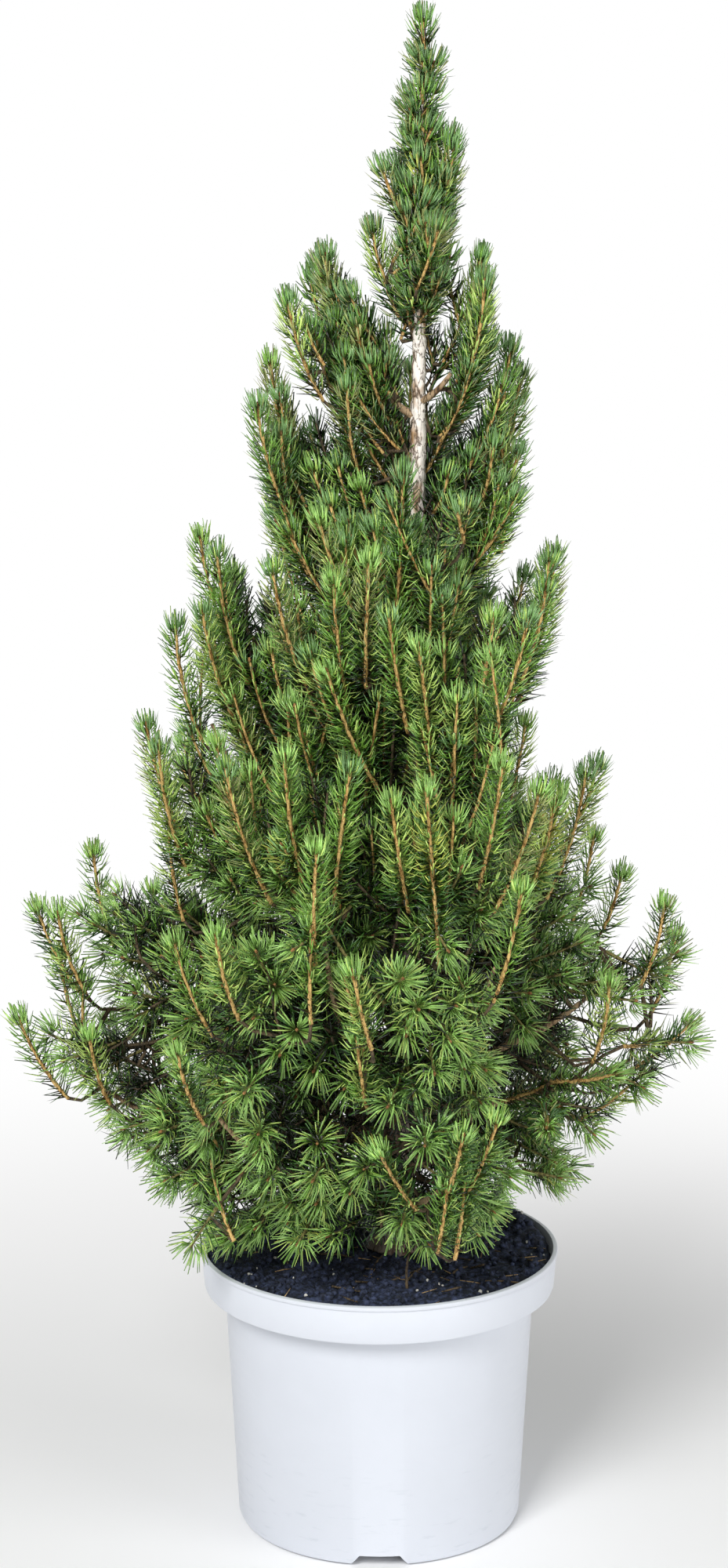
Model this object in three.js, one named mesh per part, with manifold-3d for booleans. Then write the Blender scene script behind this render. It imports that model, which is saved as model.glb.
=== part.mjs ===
// A dwarf Alberta spruce in a white nursery pot: pot, soil, leaning trunk, boughs in six
// storeys, and one mass of foliage for each bough, with a spire of foliage round the top.
// Millimetres, +Z up. The origin is the middle of the pot's underside.
// Headings are degrees round the pot: 0 is +X, 90 is +Y, 270 is the front.
import * as THREE from "three";
import { mergeVertices } from "three/addons/utils/BufferGeometryUtils.js";
import Module from "manifold-3d";

const wasm = await Module();
wasm.setup();

// ---- Driving dimensions ----

const GAP = 0.3; // left between pieces that rest against each other
const CLEAR = 0.7; // how much fatter a piece is when its neighbours are cut round it

const POT = {
  sides: 28,
  height: 150,
  rim: 94.3, // outer radius under the lip's bead
  collar: 21, // height of the wide band under the lip
  collarFoot: 93, // outer radius at the band's lower edge
  shoulder: 82, // outer radius of the wall just under the band
  foot: 75.5, // outer radius of the wall just above the foot
  corner: 3.5, // rounding between wall and foot
  wall: 2,
  lip: 1.4, // height of the lip's bead, which stands half as far proud
  recess: 6.3, // how far the floor is raised inside the foot
  padRadius: 18, // middle pad, which reaches the ground
  footWidth: 3,
};
const NOTCH = { count: 3, first: 270, lower: 33, upper: 21 }; // cut in the foot, widths
const DRAIN = { count: 6, radius: 4, ring: 46 }; // holes in the floor

const SOIL = { top: 148, seat: 26, lumps: 1.6, heap: 8, heapHeading: 40, heapRadius: 78 };

const TRUNK = {
  foot: new THREE.Vector3(8, 0, SOIL.top + GAP),
  tip: new THREE.Vector3(21, 0, 776),
  bow: 5, // how far the middle stands off the straight line
  base: 10.5,
  point: 1.3,
  flare: 1.55, // the foot's radius over the stem's
  flareHeight: 0.035, // share of the height
  sides: 9,
};

const BOUGH = { sides: 4, thick: 4.4, thin: 2.6 };
const MASS = { sides: 6, lumps: 0.11, widest: 0.62, mostRoom: 84 };
const SHOOT = { sides: 4, radius: 10, shortest: 18, longest: 34 }; // needles and all

// Each storey: the share of its boughs' length where the foliage starts, how far out and how
// high the boughs bend as shares of their reach and rise, the usual reach, how fat a mass is
// upwards on a bough of that reach, and how many rule-placed shoots each mass has.
// Each bough: its heading, the height where it leaves the trunk, and the heading, distance
// from the trunk and height of the tips of its two long shoots.
const STOREYS = {
  top: {
    join: 0.26,
    elbow: [0.7, 0.2],
    reach: 46,
    up: 27,
    shoots: 1,
    boughs: {
      left: [178, 590, [176, 48, 676], [206, 74, 655]],
      right: [352, 600, [350, 32, 664], [14, 42, 638]],
    },
  },
  upper: {
    join: 0.3,
    elbow: [0.72, 0.04],
    reach: 75,
    up: 35,
    shoots: 2,
    boughs: {
      left: [170, 522, [174, 76, 622], [152, 84, 566]],
      front: [254, 500, [264, 75, 576], [230, 79, 552]],
      right: [356, 522, [4, 46, 630], [340, 53, 566]],
      back: [84, 526, [92, 72, 612], [52, 74, 570]],
    },
  },
  third: {
    join: 0.24,
    elbow: [0.72, 0.2],
    reach: 105,
    up: 44,
    shoots: 2,
    boughs: {
      left: [174, 418, [176, 111, 533], [196, 104, 530]],
      front_left: [236, 436, [246, 101, 526], [224, 100, 528]],
      front_right: [292, 430, [270, 105, 496], [297, 84, 506]],
      right: [4, 440, [8, 70, 521], [334, 64, 456]],
      back: [90, 436, [104, 104, 520], [62, 96, 498]],
    },
  },
  second: {
    join: 0.2,
    elbow: [0.72, 0.24],
    reach: 135,
    up: 46,
    shoots: 2,
    boughs: {
      left: [186, 335, [190, 138, 442], [184, 122, 490]],
      front_left: [238, 340, [243, 139, 446], [229, 141, 436]],
      front_right: [288, 335, [272, 134, 432], [290, 124, 441]],
      right: [344, 325, [350, 78, 404], [322, 92, 410]],
      back_right: [52, 335, [50, 98, 424], [70, 114, 446]],
      back_left: [120, 345, [128, 124, 466], [104, 120, 448]],
    },
  },
  first: {
    join: 0.2,
    elbow: [0.68, 0.28],
    reach: 180,
    up: 48,
    shoots: 2,
    boughs: {
      left: [172, 262, [177, 195, 337], [157, 184, 354]],
      front_left: [236, 255, [236, 169, 362], [253, 157, 406]],
      front: [282, 250, [260, 166, 350], [292, 142, 382]],
      right: [348, 246, [4, 152, 318], [352, 134, 346]],
      back_right: [48, 255, [48, 158, 352], [66, 150, 376]],
      back_left: [110, 260, [96, 158, 366], [122, 168, 356]],
    },
  },
  lowest: {
    join: 0.2,
    elbow: [0.62, 0.14],
    reach: 190,
    up: 37,
    shoots: 2,
    boughs: {
      left: [184, 190, [187, 203, 288], [174, 170, 234]],
      front_left: [232, 184, [229, 172, 300], [214, 130, 170]],
      front: [276, 180, [281, 152, 264], [288, 86, 180]],
      right: [354, 224, [358, 169, 268], [12, 124, 250]],
      back_right: [48, 192, [54, 150, 250], [34, 140, 220]],
      back_left: [120, 196, [112, 166, 268], [140, 158, 240]],
    },
  },
};
const SPIRE = { from: 634, across: 17, shoots: 7, low: 33, high: 17 }; // reach of its shoots

const COLOURS = {
  pot: [0xe8edf5, 0.45],
  soil: [0x1d1a1c, 0.95],
  bark: [0x9c7a55, 0.85],
  foliage: [0x3f7a35, 0.8],
};

// ---- Small helpers ----

const radians = (degrees) => (degrees * Math.PI) / 180;
const clamp = THREE.MathUtils.clamp;
const mix = THREE.MathUtils.lerp;

// A repeatable number from 0 to 1 for each pair of whole numbers.
function chance(a, b) {
  const s = Math.sin(a * 127.1 + b * 311.7 + 11.3) * 43758.5453;
  return s - Math.floor(s);
}

// The point at this heading, distance out and height from the leaning trunk.
function place(heading, out, height) {
  const a = radians(heading);
  const centre = trunkAt(height);
  return new THREE.Vector3(centre.x + out * Math.cos(a), centre.y + out * Math.sin(a), height);
}

// A three.js geometry as a manifold solid, and back.
function solidOf(geometry) {
  const bare = geometry.clone();
  bare.deleteAttribute("normal");
  bare.deleteAttribute("uv");
  const merged = mergeVertices(bare, 1e-4);
  const corners = merged.index.array;
  const kept = [];
  for (let i = 0; i < corners.length; i += 3) {
    const [a, b, c] = corners.slice(i, i + 3);
    if (a !== b && b !== c && c !== a) kept.push(a, b, c);
  }
  const solid = new wasm.Manifold(
    new wasm.Mesh({
      numProp: 3,
      vertProperties: merged.attributes.position.array,
      triVerts: new Uint32Array(kept),
    }),
  );
  return solid;
}

function geometryOf(solid) {
  const mesh = solid.getMesh();
  const geometry = new THREE.BufferGeometry();
  geometry.setAttribute("position", new THREE.BufferAttribute(mesh.vertProperties, 3));
  geometry.setIndex(new THREE.BufferAttribute(mesh.triVerts, 1));
  geometry.computeVertexNormals();
  return geometry;
}

const largest = (solid) =>
  solid.decompose().reduce((a, b) => (a.volume() > b.volume() ? a : b));

function join(solids) {
  return solids.reduce((a, b) => a.add(b));
}

// A round solid along a curve. Each station is [share of the curve, radius]; the section is
// stretched across and up, and lumps makes it uneven. It is a lathe, bent along the curve.
function along(curve, stations, sides, { across = 1, up = 1, lumps = 0, seed = 0 } = {}) {
  const start = stations[0][0];
  const end = stations[stations.length - 1][0];
  const profile = [[start, 0], ...stations, [end, 0]].map(([t, r]) => new THREE.Vector2(r, t));
  const lathe = new THREE.LatheGeometry(profile, sides);
  const position = lathe.attributes.position;
  const chord = curve.v2.clone().sub(curve.v0);
  const bend = curve.v1.clone().sub(curve.v0).cross(chord);
  const sideways = bend.length() > 1e-3 * chord.lengthSq()
    ? bend.normalize()
    : new THREE.Vector3(-chord.y, chord.x, 0).normalize();
  const p = new THREE.Vector3();
  for (let i = 0; i < position.count; i++) {
    p.fromBufferAttribute(position, i);
    const t = p.y;
    const angle = Math.round((Math.atan2(p.x, p.z) * sides) / (2 * Math.PI));
    const turn = ((angle + sides) % sides) * ((2 * Math.PI) / sides);
    const wave = Math.sin(2 * turn + 6 * t + seed) + 0.8 * Math.sin(3 * turn - 9 * t + 2 * seed);
    const swell = 1 + lumps * wave * (t > start && t < end ? 1 : 0);
    const centre = curve.getPoint(t);
    const ahead = curve.getTangent(t);
    const above = new THREE.Vector3().crossVectors(ahead, sideways);
    centre.addScaledVector(sideways, p.x * across * swell);
    centre.addScaledVector(above, p.z * up * swell);
    position.setXYZ(i, centre.x, centre.y, centre.z);
  }
  const solid = solidOf(lathe);
  return solid.volume() > 0 ? solid : solidOf(flipped(lathe));
}

function flipped(geometry) {
  const index = geometry.index.array;
  for (let i = 0; i < index.length; i += 3) [index[i], index[i + 1]] = [index[i + 1], index[i]];
  return geometry;
}

// ---- Pot ----

const underCollar = POT.height - POT.collar;

// The pot's inner wall below the rim, down to the middle of its floor, moved in by play.
function innerWall(play) {
  const { collarFoot, shoulder, foot, corner, wall, recess } = POT;
  const inset = wall + play;
  const shelf = underCollar + inset;
  const floor = recess + inset;
  return [
    [collarFoot - inset, shelf + 1],
    [collarFoot - inset - 1, shelf],
    [shoulder - inset + 2, shelf],
    [shoulder - inset, underCollar + play],
    [foot - inset, floor + corner],
    [foot - inset - corner, floor],
    [0, floor],
  ];
}

// From the middle of the underside outwards, up the outside, over the lip and down inside.
function potProfile() {
  const { height, rim, collarFoot, shoulder, foot, corner, wall, lip, recess } = POT;
  const ring = foot - corner - POT.footWidth;
  return [
    [0, 0],
    [POT.padRadius, 0],
    [POT.padRadius + 1, recess],
    [ring - 1, recess],
    [ring, 0],
    [foot - corner, 0],
    [foot, corner],
    [shoulder, underCollar - 2],
    [shoulder + 2, underCollar],
    [collarFoot - 1, underCollar],
    [collarFoot, underCollar + 1],
    [rim, height - 2 * lip],
    [rim + lip / 2, height - lip],
    [rim - 0.3, height],
    [rim - wall + 0.3, height],
    [rim - wall, height - lip],
    ...innerWall(0),
  ].map(([r, z]) => new THREE.Vector2(r, z));
}

// A lathe about +Z. Lathes turn about +Y, so it is stood up.
function turned(profile, sides) {
  return solidOf(new THREE.LatheGeometry(profile, sides).rotateX(Math.PI / 2));
}

function notchCutter(heading) {
  const half = NOTCH.lower / 2;
  const inner = NOTCH.upper / 2;
  const outline = new THREE.Shape();
  outline.moveTo(-half, -1);
  outline.lineTo(half, -1);
  outline.lineTo(inner, POT.recess);
  outline.lineTo(-inner, POT.recess);
  outline.closePath();
  const depth = 14;
  const bar = new THREE.ExtrudeGeometry(outline, { depth, bevelEnabled: false });
  bar.rotateX(Math.PI / 2);
  bar.rotateZ(radians(90));
  bar.translate(POT.foot + 3, 0, 0);
  const reach = new THREE.Box3().setFromBufferAttribute(bar.attributes.position);
  bar.translate(POT.foot + 3 - reach.max.x, 0, 0);
  bar.rotateZ(radians(heading));
  return solidOf(bar);
}

function drainCutter(index) {
  const turn = radians((360 / DRAIN.count) * index);
  const hole = new THREE.CylinderGeometry(DRAIN.radius, DRAIN.radius, 20, 8);
  hole.rotateX(Math.PI / 2);
  hole.translate(DRAIN.ring * Math.cos(turn), DRAIN.ring * Math.sin(turn), POT.recess);
  return solidOf(hole);
}

function pot() {
  let solid = turned(potProfile(), POT.sides);
  for (let i = 0; i < NOTCH.count; i++) {
    solid = solid.subtract(notchCutter(NOTCH.first + (360 / NOTCH.count) * i));
  }
  for (let i = 0; i < DRAIN.count; i++) solid = solid.subtract(drainCutter(i));
  return solid;
}

// ---- Soil ----

// How far the soil stands above its level at a point: lumps, and a heap at the back right.
function soilRise(x, y) {
  const out = Math.hypot(x, y);
  const lumps = Math.sin(x * 0.11 + 1) * Math.cos(y * 0.13) * SOIL.lumps;
  const a = radians(SOIL.heapHeading);
  const away = Math.hypot(x - SOIL.heapRadius * Math.cos(a), y - SOIL.heapRadius * Math.sin(a));
  const heap = SOIL.heap * Math.exp(-((away / 34) ** 2));
  const edge = clamp((out - SOIL.seat) / 14, 0, 1);
  return edge * (lumps + heap);
}

function soil() {
  const edge = POT.rim - POT.wall - 1;
  const profile = [
    ...innerWall(GAP).reverse(),
    [edge, SOIL.top - 2],
    [edge - 8, SOIL.top],
    [edge - 34, SOIL.top],
    [SOIL.seat, SOIL.top],
    [0, SOIL.top],
  ].map(([r, z]) => new THREE.Vector2(r, z));
  const geometry = new THREE.LatheGeometry(profile, POT.sides).rotateX(Math.PI / 2);
  const position = geometry.attributes.position;
  for (let i = 0; i < position.count; i++) {
    const [x, y, z] = [position.getX(i), position.getY(i), position.getZ(i)];
    if (z > SOIL.top - 3) position.setZ(i, z + soilRise(x, y));
  }
  return solidOf(geometry);
}

// ---- Trunk and boughs ----

const trunkCurve = new THREE.QuadraticBezierCurve3(
  TRUNK.foot,
  TRUNK.foot.clone().lerp(TRUNK.tip, 0.5).add(new THREE.Vector3(TRUNK.bow, 0, 0)),
  TRUNK.tip,
);

const trunkShare = (height) =>
  clamp((height - TRUNK.foot.z) / (TRUNK.tip.z - TRUNK.foot.z), 0, 1);

// The trunk's middle at a height; its bend is small enough to take the height as its share.
function trunkAt(height) {
  return trunkCurve.getPoint(trunkShare(height));
}

function trunkRadius(share) {
  const taper = mix(TRUNK.base, TRUNK.point, share);
  const flare = 1 + (TRUNK.flare - 1) * clamp(1 - share / TRUNK.flareHeight, 0, 1) ** 2;
  return taper * flare;
}

function trunk(grow = 0) {
  const shares = [0, 0.008, 0.018, 0.035, 0.1, 0.25, 0.4, 0.55, 0.7, 0.85, 1];
  const stations = shares.map((t) => [t, trunkRadius(t) + grow]);
  const solid = along(trunkCurve, stations, TRUNK.sides);
  return grow ? solid : solid.trimByPlane([0, 0, 1], TRUNK.foot.z);
}

// The whole line of a bough: out from the trunk, then up to its leading shoot's tip.
function boughCurve({ heading, leaves, lead, storey }) {
  const start = trunkAt(leaves);
  const tip = place(...lead);
  const [, out, up] = lead;
  const [bendOut, bendUp] = storey.elbow;
  const elbow = place(heading, bendOut * out, mix(leaves, up, bendUp));
  return new THREE.QuadraticBezierCurve3(start, elbow, tip);
}

function boughRadius(bough, t) {
  const size = mix(0.55, 1, bough.lead[1] / 200);
  return size * mix(BOUGH.thick, BOUGH.thin, t / bough.storey.join);
}

function boughSolid(bough, grow = 0) {
  const end = bough.storey.join;
  const stations = [0, 0.5, 1].map((s) => [s * end, boughRadius(bough, s * end) + grow]);
  return along(boughCurve(bough), stations, BOUGH.sides);
}

// ---- Foliage ----

// One shoot with its needles: a rounded spike from a point inside a mass to its tip.
function shoot(from, tip, grow, seed) {
  const middle = from.clone().lerp(tip, 0.5);
  const sag = from.distanceTo(tip) * 0.12;
  const away = new THREE.Vector3(tip.x - TRUNK.foot.x, tip.y, 0).normalize();
  middle.addScaledVector(away, sag);
  middle.z -= sag;
  const curve = new THREE.QuadraticBezierCurve3(from, middle, tip);
  const radius = SHOOT.radius * mix(0.9, 1.1, chance(seed, 5));
  const over = grow / from.distanceTo(tip);
  const stations = [
    [0, 0.8 * radius + grow],
    [0.82, radius + grow],
    [1 + over, 0.01],
  ];
  return along(curve, stations, SHOOT.sides);
}

// How fat a mass is along its bough, as [share of the line, share of its fattest, extra].
function massStations({ up, storey }) {
  const root = storey.join;
  return [
    [root + 0.004, 4],
    [root + 0.07, 0.6 * up],
    [root + 0.2, up],
    [0.62, 0.86 * up],
    [0.8, 0.36 * up + 4],
    [0.93, 0.9 * SHOOT.radius],
  ];
}

// The fat middle of a mass follows its bough's line and narrows into the leading shoot.
function massCore(bough, grow) {
  const curve = boughCurve(bough);
  const stations = massStations(bough).map(([t, radius]) => [t, radius + grow]);
  stations[0][0] -= grow ? 0.006 : 0;
  stations.push([1 + grow / curve.getLength(), 0.01]);
  return along(curve, stations, MASS.sides, { across: bough.across / bough.up, lumps: MASS.lumps, seed: bough.seed });
}

function radiusAt(stations, t) {
  const i = stations.findIndex(([share]) => share >= t);
  const [[t0, r0], [t1, r1]] = [stations[i - 1], stations[i]];
  return mix(r0, r1, (t - t0) / (t1 - t0));
}

// The two long shoots are named; the others spring from the bough's line, to the left and to
// the right by turns, and stand out of the mass by a shoot's free length.
function shoots(bough, grow) {
  const curve = boughCurve(bough);
  const { across, up } = bough;
  const stations = massStations(bough);
  const made = [shoot(curve.getPoint(0.6), place(...bough.second), grow, bough.seed)];
  const ahead = radians(bough.heading);
  const outward = new THREE.Vector3(Math.cos(ahead), Math.sin(ahead), 0);
  const sideways = new THREE.Vector3(-Math.sin(ahead), Math.cos(ahead), 0);
  for (let i = 0; i < bough.storey.shoots; i++) {
    const t = mix(0.42, 0.82, (i + chance(bough.seed, i)) / bough.storey.shoots);
    const side = (i % 2 ? 1 : -1) * mix(0.4, 1.1, chance(bough.seed, 20 + i));
    const rise = mix(0.5, 1.1, chance(bough.seed, 40 + i));
    const lean = new THREE.Vector3(0, 0, rise).addScaledVector(outward, 0.4).addScaledVector(sideways, side);
    lean.normalize();
    const width = 1 / Math.hypot(lean.dot(sideways) / across, Math.hypot(lean.z, lean.dot(outward)) / up);
    const skin = (width * radiusAt(stations, t)) / up;
    const free = mix(SHOOT.shortest, SHOOT.longest, chance(bough.seed, 60 + i));
    const from = curve.getPoint(t).addScaledVector(lean, 0.5 * skin);
    const tip = curve.getPoint(t).addScaledVector(lean, skin + free);
    made.push(shoot(from, tip, grow, bough.seed + i + 1));
  }
  return made;
}

function massSolid(bough, grow = 0) {
  return join([massCore(bough, grow), ...shoots(bough, grow)]);
}

function spireSolid(grow = 0) {
  const curve = new THREE.QuadraticBezierCurve3(
    trunkAt(SPIRE.from),
    trunkAt((SPIRE.from + TRUNK.tip.z) / 2),
    TRUNK.tip.clone().setZ(791),
  );
  const stations = [
    [0, 0.4],
    [0.2, 1.3],
    [0.45, 1.15],
    [0.7, 0.8],
    [0.92, 0.5],
  ].map(([t, share]) => [t, share * SPIRE.across + grow]);
  stations.push([1 + grow / 150, 0.01]);
  const made = [along(curve, stations, MASS.sides, { lumps: 0.08, seed: 3 })];
  for (let i = 0; i < SPIRE.shoots; i++) {
    const height = mix(SPIRE.from + 34, 762, (i + 0.5) / SPIRE.shoots);
    const out = mix(SPIRE.low, SPIRE.high, (i + 0.5) / SPIRE.shoots);
    const heading = 137.5 * i + 10;
    const from = trunkAt(height - 30);
    made.push(shoot(from, place(heading, out, height), grow, i + 70));
  }
  return join(made);
}

// ---- Assembly ----

const group = new THREE.Group();

function add(name, solid, [colour, roughness]) {
  const material = new THREE.MeshStandardMaterial({ color: colour, roughness, metalness: 0 });
  const mesh = new THREE.Mesh(geometryOf(solid), material);
  mesh.name = name;
  group.add(mesh);
  return solid;
}

// The angle that a bough has to itself: half of the way to its neighbours on both sides.
function room(heading, storey) {
  const turns = Object.values(storey.boughs).map(([other]) => (other - heading + 360) % 360);
  const others = turns.filter((turn) => turn > 0);
  return Math.min((Math.min(...others) + 360 - Math.max(...others)) / 2, MASS.mostRoom);
}

const boughs = Object.entries(STOREYS).flatMap(([storeyName, storey], level) =>
  Object.entries(storey.boughs).map(([side, [heading, leaves, lead, second]], i) => ({
    name: `${storeyName}_${side}`,
    seed: level * 10 + i + 1,
    storey,
    heading,
    leaves,
    lead,
    second,
    up: storey.up * Math.sqrt(lead[1] / storey.reach), // a shorter bough's mass is thinner
    across: MASS.widest * lead[1] * Math.tan(radians(room(heading, storey) / 2)),
  })),
);

const touches = (a, b) => {
  const [p, q] = [a.boundingBox(), b.boundingBox()];
  return [0, 1, 2].every((k) => p.min[k] < q.max[k] && q.min[k] < p.max[k]);
};

function cutRound(solid, cutters) {
  return cutters.reduce((left, c) => (touches(left, c) ? left.subtract(c) : left), solid);
}

add("pot", pot(), COLOURS.pot);
add("soil", soil(), COLOURS.soil);
add("trunk", trunk(), COLOURS.bark);

const fatTrunk = trunk(CLEAR);
const fatBoughs = [];
for (const bough of boughs.filter((b) => b.storey !== STOREYS.top)) {
  add(`bough_${bough.name}`, largest(boughSolid(bough).subtract(fatTrunk)), COLOURS.bark);
  fatBoughs.push(boughSolid(bough, CLEAR));
}

const ground = solidOf(
  new THREE.CylinderGeometry(POT.rim + 6, POT.rim + 6, 60, POT.sides)
    .rotateX(Math.PI / 2)
    .translate(0, 0, SOIL.top + SOIL.heap + 2 - 30),
);
const taken = [fatTrunk, ...fatBoughs, ground];
const masses = [["foliage_spire", spireSolid], ...boughs.map((b) => [`foliage_${b.name}`, (grow) => massSolid(b, grow)])];
for (const [name, make] of masses) {
  add(name, largest(cutRound(make(0), taken)), COLOURS.foliage);
  taken.push(make(CLEAR));
}

export default group;
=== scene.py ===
# %% [markdown]
# # A dwarf spruce in its nursery pot
# The plant is a young dwarf white spruce, about 64 cm of cone-shaped crown on one thin trunk, in
# a white plastic pot of 19 cm. The construction model is loaded first as a fixed frame: it says
# where the trunk, every bough and every mass of foliage is. This lesson then puts the real
# surfaces in their places: moulded plastic, peat, bark, and about 120,000 needles.

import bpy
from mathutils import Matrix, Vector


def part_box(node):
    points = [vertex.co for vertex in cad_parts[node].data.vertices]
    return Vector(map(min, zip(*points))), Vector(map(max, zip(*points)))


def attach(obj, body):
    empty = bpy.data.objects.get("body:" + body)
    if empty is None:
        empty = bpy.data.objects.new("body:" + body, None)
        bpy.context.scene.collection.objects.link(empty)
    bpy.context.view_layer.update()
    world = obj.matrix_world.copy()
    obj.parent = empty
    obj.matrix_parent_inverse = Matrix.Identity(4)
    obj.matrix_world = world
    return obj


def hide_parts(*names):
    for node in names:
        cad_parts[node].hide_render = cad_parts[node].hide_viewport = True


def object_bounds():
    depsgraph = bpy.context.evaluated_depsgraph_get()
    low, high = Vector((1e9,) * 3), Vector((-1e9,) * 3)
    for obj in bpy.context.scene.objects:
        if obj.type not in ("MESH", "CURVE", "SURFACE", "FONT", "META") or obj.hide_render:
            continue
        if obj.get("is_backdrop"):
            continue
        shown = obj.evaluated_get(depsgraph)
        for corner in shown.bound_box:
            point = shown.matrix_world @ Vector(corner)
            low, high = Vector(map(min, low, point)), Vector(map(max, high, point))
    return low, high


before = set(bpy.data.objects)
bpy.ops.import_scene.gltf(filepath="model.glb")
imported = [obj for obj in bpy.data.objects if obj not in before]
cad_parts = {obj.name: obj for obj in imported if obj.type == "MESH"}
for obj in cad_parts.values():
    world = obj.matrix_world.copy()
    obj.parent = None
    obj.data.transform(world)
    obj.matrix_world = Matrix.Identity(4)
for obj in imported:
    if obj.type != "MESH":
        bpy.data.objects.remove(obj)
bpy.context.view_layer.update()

# %% [markdown]
# Everything is in metres, but a plant like this is thought of in millimetres, so a size is
# written as a number of MM. All chance comes from one seeded generator, so each run grows the
# same plant.

# %% Tools that every step needs
import math

import bmesh
import bpy
import numpy as np
from mathutils import Vector
from mathutils.bvhtree import BVHTree

MM = 0.001
chance = np.random.default_rng(41)
NODES = sorted(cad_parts)
MASSES = [name for name in NODES if name.startswith("foliage_")]
BOUGHS = [name for name in NODES if name.startswith("bough_")]
print(len(MASSES), "masses of foliage on", len(BOUGHS), "boughs")

# %% [markdown]
# ## Colours and materials
# A colour is picked as the sRGB value that the eye knows, and one function turns it linear for
# the shader. Another adds a node with its settings and its links, so that a material reads as a
# short list. A value that is the same all over goes straight on the shader's own socket.


# %% Colour and node helpers
def linear(colour):
    """An sRGB hex colour, such as "7A8B55", as linear red, green, blue and alpha."""
    parts = [int(colour[i : i + 2], 16) / 255 for i in (0, 2, 4)]
    return [p / 12.92 if p <= 0.04045 else ((p + 0.055) / 1.055) ** 2.4 for p in parts] + [1.0]


def add(material, kind, inputs=None, **settings):
    """Adds a node. Each input is a plain value, or another node's output to link."""
    made = material.node_tree.nodes.new("ShaderNode" + kind)
    for name, value in settings.items():
        setattr(made, name, value)
    for name, value in (inputs or {}).items():
        if isinstance(value, bpy.types.NodeSocket):
            material.node_tree.links.new(value, made.inputs[name])
        else:
            made.inputs[name].default_value = value
    return made


def connect(material, node, sources):
    """Links other nodes' outputs to the named inputs of a node that is already there."""
    for socket, source in sources.items():
        material.node_tree.links.new(source, node.inputs[socket])


def new_material(name, **shader):
    """A material with its shader's plain values set, and its shader and Object coordinates."""
    material = bpy.data.materials.new(name)
    material.use_nodes = True
    skin = material.node_tree.nodes["Principled BSDF"]
    for socket, value in shader.items():
        skin.inputs[socket.replace("_", " ")].default_value = value
    place = add(material, "TexCoord").outputs["Object"]
    return material, skin, place


FACTOR, FIRST, SECOND, MIXED = 0, 6, 7, 2  # the colour sockets of a Mix node

# %% [markdown]
# ## Floor, light and camera
# The plant stands on a plain pale floor under soft studio light. A wide softbox high on the left
# of the camera models the needles, a weaker one fills from the right, and a pale surround lights
# the rest. The camera stands a little above the crown's middle and looks down by 12 degrees,
# nearly two metres away.

# %% Floor
bpy.ops.object.select_all(action="DESELECT")
bpy.ops.mesh.primitive_circle_add(vertices=96, radius=14, fill_type="NGON", location=(0, 0, 0))
floor = bpy.context.object
floor.name = "floor"
paper, skin, place = new_material("painted_floor_matt", Roughness=0.9)
grain = add(paper, "TexNoise", {"Vector": place, "Scale": 3.0, "Detail": 2.0})
tint = add(
    paper,
    "Mix",
    {FACTOR: grain.outputs["Fac"], FIRST: linear("F6F6F6"), SECOND: linear("F9F9F9")},
    data_type="RGBA",
)
connect(paper, skin, {"Base Color": tint.outputs[MIXED]})
away = add(paper, "VectorMath", {0: place}, operation="LENGTH")
fade = add(
    paper,
    "MapRange",
    {"Value": away.outputs["Value"], "From Min": 0.15, "From Max": 0.9},
    interpolation_type="SMOOTHSTEP",
)
haze = add(paper, "Emission", {"Color": linear("FFFFFF"), "Strength": 1.0})
lit = add(paper, "MixShader", {0: fade.outputs[0], 1: skin.outputs[0], 2: haze.outputs[0]})
connect(paper, paper.node_tree.nodes["Material Output"], {"Surface": lit.outputs[0]})
floor.data.materials.append(paper)
floor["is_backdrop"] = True
print("floor:", tuple(floor.dimensions))


# %% Light
def softbox(name, power, size, place, towards=(0, 0, 0.4)):
    """A square area light of that size, turned towards the plant."""
    lamp = bpy.data.lights.new(name, "AREA")
    lamp.energy, lamp.size = power, size
    stand = bpy.data.objects.new(name, lamp)
    stand.location = place
    stand.rotation_euler = (Vector(towards) - Vector(place)).to_track_quat("-Z", "Y").to_euler()
    bpy.context.collection.objects.link(stand)


AMBIENT = 0.34
softbox("key_softbox", 82, 1.2, (-1.0, -2.4, 2.3))
softbox("fill_softbox", 32, 1.8, (2.5, -1.6, 1.2))
softbox("back_softbox", 8, 2.0, (0.6, 2.6, 2.0))

studio = bpy.data.worlds.new("pale_studio")
studio.use_nodes = True
bpy.context.scene.world = studio
surround = studio.node_tree.nodes["Background"]
surround.inputs["Color"].default_value = linear("FFFFFF")
surround.inputs["Strength"].default_value = AMBIENT
backdrop = add(studio, "Background", {"Color": linear("FFFFFF")})
seen = add(studio, "LightPath").outputs["Is Camera Ray"]
either = add(studio, "MixShader", {0: seen, 1: surround.outputs[0], 2: backdrop.outputs[0]})
connect(studio, studio.node_tree.nodes["World Output"], {"Surface": either.outputs[0]})
bpy.context.scene.view_settings.view_transform = "Standard"

# %% Camera
LENS = 76.5
STAND = Vector((-8.1, -1685.1, 753.9)) * MM
LOOK_DOWN = math.radians(11.86)
eye = bpy.data.cameras.new("camera")
eye.lens, eye.sensor_width, eye.sensor_fit = LENS, 36, "AUTO"
eye.clip_start, eye.clip_end = 0.05, 60
camera = bpy.data.objects.new("camera", eye)
camera.location = STAND
camera.rotation_euler = (math.pi / 2 - LOOK_DOWN, 0, 0)
bpy.context.collection.objects.link(camera)
bpy.context.scene.camera = camera
print("camera:", tuple(camera.location))
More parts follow.
